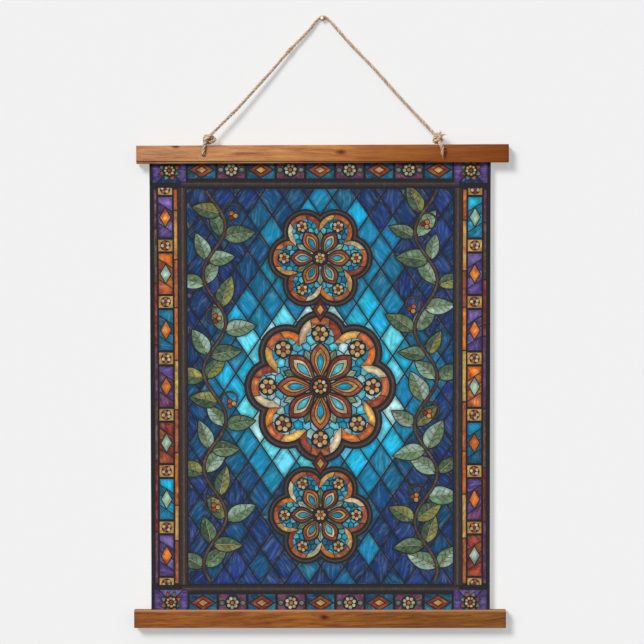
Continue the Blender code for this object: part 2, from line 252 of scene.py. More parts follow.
@dataclass(frozen=True)
class OiledWood:
    """Red-brown hardwood with a satin oil finish.

    Attributes:
        name: The material's name.
        tones_and_sheen: The ground's colours along the bar, each with its x; paler towards the left,
            partly the wood's own tone and partly a painted sheen from the light at the upper left.
        golden: The pale patches, as gains on the ground.
        streak: Colour of the dark streaks.
        centre_z: Height of the bar's middle.
        slope: The bar's rise along x.
        seed: Shifts the grain, so that no two slats are alike.
        streakiness: How strongly the dark streaks show.
        knots: The x, height and size of each small knot.
        rake: How far the grain falls along the bar, as a slope.
        shade_line_z: Height of the painted shade line along the rounded lower edge.
        shade_line_depth: How dark that painted shade is, from 0 to 1.
        lit_edge: How strongly a painted highlight lights the upper edge, from 0 to 1.
        edge_highlight: Colour of that painted highlight.
    """

    name: str
    tones_and_sheen: tuple[tuple[float, Colour], ...]
    golden: Colour
    streak: Colour
    centre_z: float
    slope: float
    seed: float
    streakiness: float = 0.5
    knots: tuple[tuple[float, float, float], ...] = ((0.0, 0.0, 1.0),)
    rake: float = 0.012
    shade_line_z: float = 0.0
    shade_line_depth: float = 0.0
    lit_edge: float = 0.0
    edge_highlight: Colour = linear(196, 146, 104)

    def knot_distance(self, w: Wiring, x: Value, z: Value) -> Value:
        """Return how far a place is from the nearest knot, in millimetres, drawn out along x."""
        ragged = w.noise((x * 0.10, 0.0, z * 0.35), 1.0, 2.0)
        nearest: Feed = 1000.0
        for knot_x, knot_z, size in self.knots:
            away = w.far((x - knot_x / MM) * (0.52 / size), (z - knot_z / MM) * (1 / size))
            nearest = w.math("MINIMUM", nearest, away)
        return (ragged - 0.5) * 3.4 + nearest

    def grain_height(self, w: Wiring, x: Value, y: Value, z: Value, knot: Value) -> Value:
        """Return how far up the board's rings a place is, bent by slow waves and the knot."""
        slow = w.noise((x * 0.0045, y * 0.03, z * 0.02 + self.seed), 1.0, 2.0)
        bend = w.remap(knot, 0.0, 13.0, 4.0, 0.0, smooth=True)
        return slow * 20.0 + x * self.rake + z + y * 0.5 + bend

    def ground(self, w: Wiring, x: Value) -> Value:
        """Return the ground's colour along the bar, which carries part of a painted sheen."""
        first, last = self.tones_and_sheen[0][0], self.tones_and_sheen[-1][0]
        return w.ramp(w.remap(x, first / MM, last / MM),
                      [((place - first) / (last - first), colour) for place, colour in self.tones_and_sheen])

    def figure(self, w: Wiring, x: Value, y: Value, level: Value) -> Value:
        """Return the ground with its pale and dark patches and streaks."""
        broad = w.noise((x * 0.0085, self.seed, level * 0.115), 1.0, 3.0, 0.55, 0.3)
        bands = w.noise((x * 0.012, y * 0.06, level * 0.28), 1.0, 5.0, 0.66, 0.3)
        flecks = w.noise((x * 0.021, self.seed + 7.0, level * 0.52), 1.0, 4.0, 0.62, 0.4)
        ground = self.ground(w, x)
        pale = w.tinted(ground, self.golden)
        colour = w.mix(w.remap(broad, 0.49, 0.62, 0.0, 0.95), ground, pale)
        colour = w.mix(w.remap(broad, 0.45, 0.30, 0.0, 0.80), colour, self.streak)
        colour = w.mix(w.remap(flecks, 0.51, 0.66, 0.0, 0.60), colour, pale)
        colour = w.mix(w.remap(flecks, 0.46, 0.32, 0.0, self.streakiness), colour, self.streak)
        return w.mix(w.remap(bands, 0.51, 0.70, 0.0, self.streakiness), colour, self.streak)

    def edge_tone(self, w: Wiring, x: Value, up: Value) -> Value:
        """Return the gain of the painted shade line along the lower edge and of the handled ends."""
        above = up - self.shade_line_z / MM
        # painted shade: a dark line, and a fainter strip below it, stand in for the shade on the
        # rounded lower edge
        line = w.remap(w.math("ABSOLUTE", above), 0.7, 1.6, self.shade_line_depth, 0.0, smooth=True)
        lip = w.remap(above, -1.6, -0.6, 0.3 * self.shade_line_depth, 0.0)
        line = w.math("MAXIMUM", line, lip) * w.remap(x, 190.0, 260.0, 1.0, 0.0)
        return (1.0 - line) * w.remap(w.math("ABSOLUTE", x), 350.0, 362.0, 1.0, 0.82)

    def material(self) -> bpy.types.Material:
        """Wire the wood."""
        w = Wiring(self.name)
        x, y, up = w.object_place()
        z = up - self.centre_z / MM - x * self.slope
        knot = self.knot_distance(w, x, up)
        level = self.grain_height(w, x, y, z, knot)
        fine = w.noise((x * 0.04, y, level), 1.7, 5.0, 0.7)
        pores = w.noise((x * 0.09, y * 2.2, z * 2.2), 1.6, 2.0, 0.5)
        shade = w.remap(fine, 0.25, 0.75, 0.72, 1.28) * self.edge_tone(w, x, up)
        colour = w.tinted(self.figure(w, x, y, level), shade)
        pore_mark = w.remap(pores, 0.64, 0.74, 0.0, 0.6)
        dark = tuple(0.5 * value for value in self.streak)
        for share, tone in (
                (pore_mark, dark),
                (w.remap(knot, 2.5, 6.5, 0.75, 0.0, smooth=True), self.streak),
                (w.remap(knot, 1.0, 3.2, 0.9, 0.0, smooth=True), dark),
                # painted highlight along the upper edge, where light from above would catch it
                (w.remap(z, 11.8, 16.6, 0.0, self.lit_edge, smooth=True), self.edge_highlight)):
            colour = w.mix(share, colour, tone)
        w.bump(fine * 0.6 - pore_mark, 0.00012, 0.8)
        return w.finish(self.end_grain(w, colour, y, z), Specular_IOR_Level=0.16,
                        Roughness=w.remap(fine, 0.2, 0.8, 0.38, 0.54))

    def end_grain(self, w: Wiring, colour: Value, y: Value, z: Value) -> Value:
        """Show curved rings on the sawn ends, where the surface faces along x."""
        facing = w.value("ShaderNodeNewGeometry", output="Normal")
        along = w.math("ABSOLUTE", w.value("ShaderNodeSeparateXYZ", {0: facing}))
        wobble = w.noise((0.0, y, z), 0.35, 3.0)
        radius = wobble * 1.6 + w.far(y + (30.0 + self.seed), z + 44.0)
        specks = w.noise((0.0, y, z), 3.5, 2.0)
        tone = w.math("SINE", radius * 3.1) * 0.10 + w.remap(specks, 0.3, 0.7, 0.5, 0.78)
        return w.mix(w.remap(along, 0.72, 0.9), colour, w.tinted(colour, tone))


@dataclass(frozen=True)
class JuteFinish:
    """Raw jute: pale and dark fibres that run round each ply, with painted shade between the plies.

    Attributes:
        name: The material's name.
        ground: Colour of most fibres.
        pale: Colour of the palest fibres.
        dark: Colour of the darkest fibres.
        crease_shade: Colour of the painted shade deep between the plies.
    """

    name: str
    ground: Colour = linear(222, 194, 165)
    pale: Colour = linear(254, 241, 220)
    dark: Colour = linear(150, 124, 96)
    crease_shade: Colour = linear(112, 88, 62)

    def material(self) -> bpy.types.Material:
        """Wire the jute."""
        w = Wiring(self.name)
        fibre = w.attribute("fibre", "Vector")
        fine = w.noise(fibre, 4.6, 4.0, 0.65, 0.4)
        broad = w.noise(fibre, 0.8, 2.0, 0.5)
        x, y, z = w.object_place()
        patches = w.noise((x + 37.0, y, z), 0.11, 3.0, 0.6)
        colour = w.mix(w.remap(fine, 0.34, 0.60), self.dark, self.ground)
        colour = w.mix(w.remap(fine, 0.54, 0.74, 0.0, 0.9), colour, self.pale)
        mottle = w.remap(broad * 0.5 + patches * 0.5, 0.34, 0.66, 0.74, 1.24)
        colour = w.tinted(colour, w.remap(w.attribute("ply"), 0.0, 1.0, 0.90, 1.16) * mottle)
        # painted shade in the grooves between the plies, where the depth is small
        colour = w.mix(w.remap(w.attribute("depth"), 0.80, 0.46, 0.0, 0.80), colour, self.crease_shade)
        w.bump(fine, 0.00034, 1.0)
        return w.finish(colour, Roughness=0.92, Specular_IOR_Level=0.2)


@dataclass(frozen=True)
class FuzzFinish:
    """Loose jute fibres, paler than the twine.

    Attributes:
        name: The material's name.
        pale: Colour of the palest fibres.
        dark: Colour of the darkest fibres.
    """

    name: str
    pale: Colour = linear(246, 228, 202)
    dark: Colour = linear(196, 168, 136)

    def material(self) -> bpy.types.Material:
        """Wire the fibres."""
        w = Wiring(self.name)
        place = w.object_place()
        colour = w.ramp(w.noise(place, 0.7, 2.0), ((0.3, self.dark), (0.7, self.pale)))
        w.bump(w.noise(place, 9.0, 2.0), 0.00002, 0.5)
        return w.finish(colour, Roughness=0.85, Specular_IOR_Level=0.3)


@dataclass(frozen=True)
class BrassFinish:
    """Polished brass, a little rubbed and tarnished; its head has a painted highlight up to the left
    and painted shade towards the rim.

    Attributes:
        name: The material's name.
        bright: Colour of the bare brass, which the painted highlight up to the left keeps.
        tarnish: Colour of the stains.
        rim: Colour of the painted shade near the head's rim, heaviest at its lower right.
    """

    name: str
    bright: Colour = linear(246, 224, 188)
    tarnish: Colour = linear(178, 144, 100)
    rim: Colour = linear(104, 78, 42)

    def material(self) -> bpy.types.Material:
        """Wire the brass."""
        w = Wiring(self.name)
        x, y, z = w.object_place()
        stain = w.noise((x, y, z), 0.55, 4.0, 0.6)
        rubs = w.noise((x, y * 8.0, z), 2.4, 3.0, 0.6)
        colour = w.mix(w.remap(stain, 0.42, 0.72, 0.0, 0.6), self.bright, self.tarnish)
        # painted highlight and shade: the head darkens with distance from a spot up and to the left
        from_highlight = stain * 0.8 + w.far(x + 0.9, z - 0.9)
        colour = w.mix(w.remap(from_highlight, 3.0, 4.6, 0.0, 0.92, smooth=True), colour, self.rim)
        w.bump(rubs, 0.00002, 0.4)
        return w.finish(colour, Metallic=1.0, Roughness=w.remap(rubs, 0.3, 0.7, 0.46, 0.60))


@dataclass(frozen=True)
class PrintFinish:
    """The cloth's printed front: painted glass on a fine plain weave.

    Attributes:
        name: The material's name.
        thread_mm: The weave's thread spacing in millimetres.
    """

    name: str
    thread_mm: float = 0.55

    def weave(self, w: Wiring, x: Value, z: Value) -> Value:
        """Return the height of a plain weave, from 0 to 1."""
        across, up = (w.math("SINE", way * (math.pi / self.thread_mm)) for way in (x, z))
        return across * up * 0.5 + 0.5

    def glass(self, w: Wiring, x: Value, z: Value) -> Value:
        """Paint each pane in streaks along its own direction, darker towards its lead."""
        parts = w.node("ShaderNodeSeparateColor", {0: w.attribute("stroke", "Color")}).outputs
        seed, cosine, sine = (Value(w, part) for part in parts)
        strength = w.attribute("stroke", "Alpha")
        cosine = cosine * 2.0 - 1.0
        sine = sine * 2.0 - 1.0
        depth = seed * 61.0
        along = x * cosine + z * sine
        across = z * cosine - x * sine
        streaks = w.noise((along * 0.030, across * 0.17, depth), 1.0, 5.0, 0.62, 0.9)
        clouds = w.noise((x * 0.045, z * 0.045, depth), 1.0, 3.0, 0.55, 0.8)
        shifted = w.value("ShaderNodeHueSaturation", {
            "Hue": w.remap(clouds, 0.25, 0.75, 0.482, 0.520), "Saturation": 1.06,
            "Value": w.remap(clouds, 0.28, 0.72, 0.62, 1.40),
            "Color": w.attribute("glass", "Color")})
        pale = w.mix(0.30, w.tinted(shifted, (1.9, 1.9, 1.8)), (0.42, 0.60, 0.60))
        deep = w.tinted(shifted, (0.26, 0.28, 0.36))
        colour = w.mix(w.remap(streaks, 0.50, 0.80, 0.0, 0.75) * strength, shifted, pale)
        colour = w.mix(w.remap(streaks, 0.50, 0.24, 0.0, 0.75) * strength, colour, deep)
        return w.tinted(colour, w.remap(w.attribute("edge"), 0.0, 6.5, 0.50, 1.10, smooth=True))

    def lead(self, w: Wiring, x: Value, z: Value) -> Value:
        """Paint the drawn lead lines: nearly black, brushed with brown and grey."""
        strokes = w.noise((x * 0.30, 0.0, z * 0.08), 1.0, 3.0, 0.6, 0.8)
        tone = w.attribute("glass", "Color")
        return w.mix(w.remap(strokes, 0.50, 0.78, 0.0, 0.75), tone, w.tinted(tone, (2.6, 2.3, 2.2)))

    def shine(self, w: Wiring, x: Value, z: Value, colour: Value) -> Value:
        """Add the thin broken lines of light brown that are painted beside the leads."""
        edge = w.attribute("edge")
        near = w.remap(edge, 0.35, 0.75) * w.remap(edge, 1.5, 1.05)
        broken = w.noise((x * 0.06, 0.0, z * 0.06), 1.0, 3.0, 0.6)
        bright = w.mix(0.55, w.tinted(colour, (2.6, 2.4, 2.3)), (0.34, 0.24, 0.18))
        return w.mix(near * w.remap(broken, 0.50, 0.62, 0.0, 0.60), colour, bright)

    def woven(self, w: Wiring, x: Value, z: Value, strength: float) -> tuple[Value, Value]:
        """Raise the weave, and return its height and its slubs."""
        weave = self.weave(w, x, z)
        slubs = w.noise((x * 0.05, 0.0, z), 2.2, 3.0, 0.6)
        w.bump(slubs * 0.4 + weave, 0.00012, strength)
        return weave, slubs

    def material(self) -> bpy.types.Material:
        """Wire the printed front."""
        w = Wiring(self.name)
        x, _, z = w.object_place()
        weave, slubs = self.woven(w, x, z, 0.7)
        panes = self.shine(w, x, z, self.glass(w, x, z))
        picture = w.mix(w.attribute("glass", "Alpha"), self.lead(w, x, z), panes)
        faded = w.mix(0.012, picture, (0.62, 0.62, 0.64))
        colour = w.tinted(faded, weave * 0.16 + slubs * 0.12 + 0.93)
        return w.finish(colour, Roughness=0.88, Specular_IOR_Level=0.2,
                        Sheen_Weight=0.08, Sheen_Roughness=0.4)


@dataclass(frozen=True)
class ClothBackFinish:
    """The cloth's unprinted back: off-white weave with the print faintly through it.

    Attributes:
        name: The material's name.
        ground: The weave's colour.
        show_through: How much of the print shows, from 0 to 1.
    """

    name: str
    ground: Colour = linear(226, 223, 216)
    show_through: float = 0.20

    def material(self) -> bpy.types.Material:
        """Wire the back."""
        w = Wiring(self.name)
        x, _, z = w.object_place()
        weave, slubs = PrintFinish(self.name).woven(w, x, z, 0.8)
        colour = w.mix(self.show_through, self.ground, w.attribute("glass", "Color"))
        return w.finish(w.tinted(colour, weave * 0.10 + slubs * 0.12 + 0.84), Roughness=0.9,
                        Specular_IOR_Level=0.2, Sheen_Weight=0.1, Sheen_Roughness=0.4)


@dataclass(frozen=True)
class PaintFinish:
    """Matt emulsion for the wall and floor, with a faint roller texture.

    Attributes:
        name: The material's name.
        colour: The paint's colour.
        lit: How much light the surface gives off, as a backdrop lit from behind does.
    """

    name: str
    colour: Colour
    lit: float = 0.0

    def material(self, see_through_back: bool = False) -> bpy.types.Material:
        """Wire the paint; the wall's is open from behind."""
        w = Wiring(self.name)
        shade = w.remap(w.noise(w.object_place(), 0.3, 3.0), 0.3, 0.7, 0.995, 1.005)
        w.finish(w.tinted(self.colour, shade), Roughness=0.95, Specular_IOR_Level=0.1,
                 Emission_Color=(1.0, 1.0, 1.0), Emission_Strength=self.lit)
        if see_through_back:
            side = w.value("ShaderNodeNewGeometry", output="Backfacing")
            clear = w.value("ShaderNodeBsdfTransparent")
            both = w.value("ShaderNodeMixShader", {0: side, 1: w.shader.outputs[0], 2: clear})
            w.feed(w.tree.nodes["Material Output"].inputs["Surface"], both)
        return w.material


class Ink(Enum):
    """The print's colours, as they show on the screen."""

    LEAD = (23, 23, 27)
    BAR = (44, 37, 36)
    BAR_LIGHT = (72, 60, 54)
    NAVY = (26, 52, 96)
    INDIGO = (38, 60, 112)
    DEEP = (22, 70, 110)
    TEAL = (28, 92, 122)
    AZURE = (22, 120, 156)
    CYAN = (26, 164, 200)
    ICE = (104, 204, 224)
    MIST = (184, 226, 230)
    RUST = (158, 74, 54)
    BRICK = (132, 52, 48)
    COPPER = (192, 108, 72)
    ORANGE = (222, 128, 66)
    AMBER = (230, 176, 104)
    CREAM = (232, 212, 170)
    SAGE = (122, 152, 116)
    MOSS = (84, 112, 82)
    MINT = (170, 202, 178)
    OLIVE = (156, 158, 92)
    STEM = (104, 80, 68)
    PURPLE = (86, 66, 126)
    LILAC = (122, 100, 168)
    PLUM = (112, 62, 96)

    def light(self) -> Colour:
        """Return the colour in linear light."""
        return linear(*self.value)


def inks(names: str) -> tuple[Ink, ...]:
    """Look inks up by their names."""
    return tuple(Ink[name] for name in names.split())


@dataclass(frozen=True)
class Pane:
    """One painted shape of the print.

    Attributes:
        outline: Its corners in millimetres on the cloth, anticlockwise.
        colour: Its colour in linear light.
        angle: The direction of its streaks, in radians.
        strength: How strongly it is streaked; 0 for lead.
        seed: Its own place in the noise, from 0 to 1.
        glass: Whether it is glass, not lead.
        clip: The number of the shape that it is cut off by, or -1.
    """

    outline: Loop
    colour: Colour
    angle: float
    strength: float
    seed: float
    glass: bool
    clip: int = -1


def turned_left(loop: Loop) -> Loop:
    """Return a closed outline with its points anticlockwise."""
    nxt = np.roll(loop, -1, axis=0)
    area = np.sum(loop[:, 0] * nxt[:, 1] - nxt[:, 0] * loop[:, 1])
    return loop if area > 0 else loop[::-1]


def grown(loop: Loop, amount: float) -> Loop:
    """Move a closed outline's edges outwards, or inwards for a negative amount.

    Args:
        loop: The outline, anticlockwise.
        amount: How far its edges move, in the outline's units.

    Returns:
        The new outline, with the same number of points.
    """
    before = loop - np.roll(loop, 1, axis=0)
    after = np.roll(loop, -1, axis=0) - loop
    before /= np.maximum(np.linalg.norm(before, axis=1, keepdims=True), 1e-9)
    after /= np.maximum(np.linalg.norm(after, axis=1, keepdims=True), 1e-9)
    out_before = np.stack([before[:, 1], -before[:, 0]], axis=1)
    out_after = np.stack([after[:, 1], -after[:, 0]], axis=1)
    middle = out_before + out_after
    length = np.maximum(np.linalg.norm(middle, axis=1, keepdims=True), 0.35)
    mitre = 2 * middle / length ** 2
    return loop + amount * mitre


def circle(x: float, y: float, radius: float, sides: int = 20, turn: float = 0.0) -> Loop:
    """Return a circle's outline."""
    angles = turn + 2 * math.pi * np.arange(sides) / sides
    return np.stack([x + radius * np.cos(angles), y + radius * np.sin(angles)], axis=1)


def box(left: float, low: float, right: float, high: float) -> Loop:
    """Return a rectangle's outline."""
    return np.array(((left, low), (right, low), (right, high), (left, high)), dtype=float)


def lozenge(x: float, y: float, half_wide: float, half_tall: float) -> Loop:
    """Return a lozenge's outline."""
    return np.array(((x + half_wide, y), (x, y + half_tall),
                     (x - half_wide, y), (x, y - half_tall)))


def away(x: float, y: float, reach: float, heading: float) -> Point:
    """Return the place at a distance and direction from another."""
    return x + reach * math.cos(heading), y + reach * math.sin(heading)


def turns(count: int, first: float) -> Iterable[tuple[int, float]]:
    """Number the equal steps of a full turn, with each one's direction."""
    return ((number, first + 2 * math.pi * number / count) for number in range(count))


def petal(x: float, y: float, angle: float, inner: float, outer: float, width: float,
          fullness: float = 0.5, steps: int = 8) -> Loop:
    """Return a pointed petal that stands out from a centre.

    Args:
        x: The centre.
        y: The centre.
        angle: The petal's direction.
        inner: How far from the centre it starts.
        outer: How far it reaches.
        width: Its width at its widest.
        fullness: Where along it it is widest, from 0 to 1.
        steps: The points on each side.

    Returns:
        Its outline, anticlockwise.
    """
    shares = np.linspace(0.0, 1.0, steps + 1)
    bend = math.log(0.5) / math.log(fullness)
    half = width / 2 * np.sin(math.pi * shares ** bend) ** 0.85
    reach = inner + shares * (outer - inner)
    right = np.stack([reach, -half], axis=1)
    left = np.stack([reach[::-1], half[::-1]], axis=1)[1:-1]
    local = np.vstack([right, left])
    return placed(local, x, y, angle)


def placed(local: Loop, x: float, y: float, angle: float) -> Loop:
    """Turn an outline about its origin and move it."""
    cosine, sine = math.cos(angle), math.sin(angle)
    turned = np.stack([local[:, 0] * cosine - local[:, 1] * sine,
                       local[:, 0] * sine + local[:, 1] * cosine], axis=1)
    return turned + (x, y)


def ribbon(path: Loop, widths: np.ndarray | float) -> Loop:
    """Return the outline of a band along an open path."""
    ahead = np.gradient(path, axis=0)
    ahead /= np.maximum(np.linalg.norm(ahead, axis=1, keepdims=True), 1e-9)
    side = np.stack([-ahead[:, 1], ahead[:, 0]], axis=1)
    half = np.broadcast_to(np.asarray(widths) / 2, len(path))[:, None]
    return turned_left(np.vstack([path - side * half, (path + side * half)[::-1]]))


@dataclass(frozen=True)
class Foil:
    """A foil: overlapping round lobes set round a centre.

    Attributes:
        x: The centre.
        y: The centre.
        lobes: How many lobes there are.
        turn: The first lobe's direction.
        reach: How far the lobes' own centres are from the centre.
        lobe: The lobes' radius.
    """

    x: float
    y: float
    lobes: int
    turn: float
    reach: float
    lobe: float

    def outline(self, inset: float = 0.0, steps: int = 12) -> Loop:
        """Return the outline, moved inwards by an amount.

        Args:
            inset: How far inwards; negative is outwards.
            steps: The parts of each lobe.

        Returns:
            The outline, anticlockwise, with steps points for each lobe.
        """
        radius = self.lobe - inset
        half = math.pi / self.lobes
        offset = self.reach * math.sin(half)
        meet = self.reach * math.cos(half) + math.sqrt(max(radius ** 2 - offset ** 2, 0.0))
        spread = math.atan2(meet * math.sin(half), meet * math.cos(half) - self.reach)
        rows = []
        for _, heading in turns(self.lobes, self.turn):
            centre = away(self.x, self.y, self.reach, heading)
            rows.extend(away(*centre, radius, heading - spread + 2 * spread * step / steps)
                        for step in range(steps))
        return np.array(rows)


@dataclass
class Cartoon:
    """The print's drawing: panes painted one over another, in millimetres.

    The middle of the cloth is x = 0 and its bottom edge is y = 0. The design is a plain
    ornamental one of lattice, leaves and flowers.

    Attributes:
        half_width: Half the cloth's width.
        height: The cloth's height.
        hidden: How much of the cloth each bar hides.
        field_half: Half the width of the field between the side borders.
        border: How high a level border is.
        lead_width: The usual width of a lead.
        panes: The shapes, from the bottom to the top.
        dice: What varies inks, streaks and places.
    """

    half_width: float = 330.5
    height: float = 914.0
    hidden: float = 24.5
    field_half: float = 258.0
    border: float = 50.0
    lead_width: float = 3.0
    panes: list[Pane] = field(default_factory=list)
    dice: random.Random = field(default_factory=lambda: random.Random(41))

    def lead(self, outline: Loop, ink: Ink = Ink.LEAD, clip: int = -1) -> int:
        """Paint a plain shape and return its number."""
        self.panes.append(Pane(outline, ink.light(), 0.0, 0.0, 0.0, False, clip))
        return len(self.panes) - 1

    def glass(self, outline: Loop, ink: Ink, angle: float | None = None,
              strength: float = 0.8, clip: int = -1, vary: float = 0.12) -> None:
        """Paint a pane of glass, its colour varied a little."""
        if angle is None:
            angle = self.dice.uniform(0, math.pi)
        gain = 1 + self.dice.uniform(-vary, vary)
        colour = tuple(value * gain * (1 + self.dice.uniform(-0.06, 0.06))
                       for value in ink.light())
        self.panes.append(Pane(outline, colour, angle, strength, self.dice.random(), True, clip))

    def leaded(self, outline: Loop, ink: Ink, angle: float | None = None,
               width: float = 3.0, strength: float = 0.8) -> None:
        """Paint a pane with lead all round it."""
        self.lead(grown(outline, width / 2))
        self.glass(grown(outline, -width / 2), ink, angle, strength)

    def sheet(self) -> Loop:
        """Return the cloth's own outline."""
        return box(-self.half_width, 0.0, self.half_width, self.height)

    def draw(self) -> None:
        """Paint the whole design."""
        self.lead(box(-self.half_width - 3, -3, self.half_width + 3, self.height + 3))
        low, high = self.field_ends()
        self.lattice(box(-self.field_half, low, self.field_half, high))
        for side in (-1, 1):
            self.vine(side)
        self.column()
        self.side_borders()
        self.end_borders()
        self.corners()

    def field_ends(self) -> tuple[float, float]:
        """Return the heights of the field's lower and upper end."""
        return self.hidden + self.border, self.height - self.hidden - self.border

    def lattice(self, field_box: Loop) -> None:
        """Fill the field with diamond quarries, from navy to bright blue by the middle."""
        wide, tall = 47.0, 68.0
        clip = self.lead(field_box)
        low, high = field_box[0][1], field_box[2][1]
        for row in range(-1, math.ceil((high - low) / tall * 2) + 1):
            for column in range(-6, 7):
                x, y = column * wide + (wide / 2 if row % 2 else 0.0), low + row * tall / 2
                outline = grown(lozenge(x, y, wide / 2, tall / 2), -self.lead_width * 0.42)
                self.glass(outline, self.quarry_ink(x, y), self.dice.choice((0.9, 2.2, 1.5)),
                           0.85, clip)

    def quarry_ink(self, x: float, y: float) -> Ink:
        """Choose a quarry's colour by how near the medallions it is."""
        glow = 0.0
        for centre, radius, reach, most in ((457.0, 140.0, 135.0, 1.0), (706.0, 95.0, 110.0, 0.62),
                                            (208.0, 95.0, 90.0, 0.40)):
            past = max(0.0, math.hypot(x, y - centre) - radius)
            glow = max(glow, most * (1.0 - past / reach))
        level = glow + self.dice.uniform(-0.10, 0.10)
        names = next(names for least, names in (
            (0.92, "CYAN ICE ICE MIST"), (0.78, "CYAN CYAN ICE AZURE"), (0.52, "CYAN AZURE AZURE"),
            (0.26, "AZURE TEAL TEAL DEEP"), (-1.0, "NAVY DEEP NAVY INDIGO")) if level > least)
        return self.dice.choice(inks(names))

    def vine(self, side: int) -> None:
        """Run a leafy stem up the left side of the field (-1) or the right (1)."""
        low, high = self.hidden + 54, self.height - self.hidden - 54
        heights = np.linspace(low, high, 150)
        phase = 0.4 if side < 0 else 0.4 + math.pi * 0.12
        sway = 22.0 * np.sin(2 * math.pi * (heights - low) / 187.0 + phase)
        path = np.stack([side * (206.0 + sway), heights], axis=1)
        ahead = np.gradient(path, axis=0)
        headings = np.arctan2(ahead[:, 1], ahead[:, 0])
        for count, index in enumerate(range(5, 146, 9)):
            for hand in (-1, 1):
                if count % 4 == 3 and hand == (1 if count % 8 == 3 else -1):
                    self.tendril(path[index], headings[index], hand)
                    continue
                lean, reach = self.dice.uniform(0.62, 0.95), self.dice.uniform(54, 68)
                self.leaf(path[index], headings[index] + hand * lean, reach, hand)
        self.lead(ribbon(path, 7.6))
        self.glass(ribbon(path, 4.2), Ink.STEM, math.pi / 2, 0.9)

    def leaf(self, root: Point, heading: float, reach: float, hand: int) -> None:
        """Draw a pointed leaf in two tones, with side veins and a pale rib."""
        width = reach * self.dice.uniform(0.46, 0.56)
        whole = petal(0.0, 0.0, 0.0, 4.0, reach, width, 0.42, 9)
        curl = self.dice.uniform(0.10, 0.22) * hand

        def bent(local: Loop) -> Loop:
            """Put a part in its place on the leaf and curl it with the leaf."""
            along = np.array((math.cos(heading), math.sin(heading)))
            outline = placed(local, *root, heading)
            share = np.maximum((outline - root) @ along / reach, 0.0)
            return outline + np.outer(share ** 2 * curl * reach, (-along[1], along[0]))

        whole = bent(whole)
        outer = self.lead(grown(whole, 1.5))
        inner = grown(whole, -0.5)
        shades = inks(self.dice.choice(("SAGE MOSS", "MINT SAGE", "OLIVE MOSS", "SAGE MINT")))
        self.glass(inner, shades[0], heading + 0.7, 1.0)
        spine = bent(np.stack([np.linspace(3.0, reach * 0.97, 10), np.zeros(10)], axis=1))
        half = np.vstack([spine, inner[len(inner) // 2 + 1:]])
        self.glass(turned_left(half), shades[1], heading - 0.7, 1.0, clip=outer)
        for share in (0.30, 0.48, 0.66):
            for flank in (-1, 1):
                start = np.array((reach * share, 0.0))
                end = start + (reach * 0.17, flank * width * 0.42 * math.sin(math.pi * share))
                vein = bent(np.linspace(start, end, 4))
                self.lead(ribbon(vein, np.linspace(1.1, 0.5, 4)), clip=outer)
        self.lead(ribbon(spine, np.linspace(2.4, 0.8, 10)))
        self.glass(ribbon(spine[1:-2], np.linspace(1.0, 0.5, 7)), Ink.CREAM, heading, 0.3)

    def tendril(self, root: Point, heading: float, hand: int) -> None:
        """Draw a coiled tendril that carries berries."""
        shares = np.linspace(0.0, 1.0, 26)
        angles = heading + hand * (0.5 + shares * 5.2)
        steps = np.stack([np.cos(angles), np.sin(angles)], axis=1)
        steps = steps * (4.4 * (1 - 0.72 * shares))[:, None]
        path = np.vstack([root, root + np.cumsum(steps, axis=0)])
        self.lead(ribbon(path, np.linspace(4.6, 3.2, 27)))
        self.glass(ribbon(path, np.linspace(2.2, 1.2, 27)), Ink.STEM, heading, 0.6)
        for number, ink in enumerate(inks("ORANGE RUST AMBER")):
            place = away(*path[-1], 5.2, heading + number * 2.1)
            self.leaded(circle(*place, 5.0, 12), ink, width=1.6)

    def pebbles(self, clip: int, x: float, y: float, radius: float, pitch: float,
                colours: Sequence[Ink]) -> None:
        """Fill a clipped region with rounded six-sided cells, shaken a little."""
        count = math.ceil(radius / pitch) + 1
        lean = pitch * 0.13
        corners: dict[tuple[int, int], np.ndarray] = {}
        for row in range(-count * 2, count * 2):
            for column in range(-count, count + 1):
                cx = x + (column + 0.5 * (row % 2)) * pitch
                cy = y + row * pitch * 0.866
                if math.hypot(cx - x, cy - y) > radius + pitch:
                    continue
                loop = []
                for corner in range(6):
                    place = away(cx, cy, pitch * 0.577, math.pi / 6 + corner * math.pi / 3)
                    key = (round(place[0] * 4 / pitch), round(place[1] * 4 / pitch))
                    if key not in corners:
                        shake = (self.dice.uniform(-lean, lean), self.dice.uniform(-lean, lean))
                        corners[key] = np.array(place) + shake
                    loop.append(corners[key])
                outline = grown(turned_left(np.array(loop)), -1.0)
                self.glass(outline, self.dice.choice(colours), clip=clip, vary=0.2)

    def column(self) -> None:
        """Set three foiled medallions up the middle, joined by small lozenges."""
        self.medallion(0.0, 457.0, 146.0, 8, large=True)
        self.medallion(0.0, 706.0, 100.0, 6, large=False)
        self.medallion(0.0, 208.0, 100.0, 6, large=False)
        for y in (606.0, 308.0):
            self.leaded(lozenge(0.0, y, 15.0, 22.0), Ink.BRICK, 0.5, 3.4)
            self.leaded(lozenge(0.0, y, 7.5, 11.0), Ink.AMBER, 0.9, 1.6)

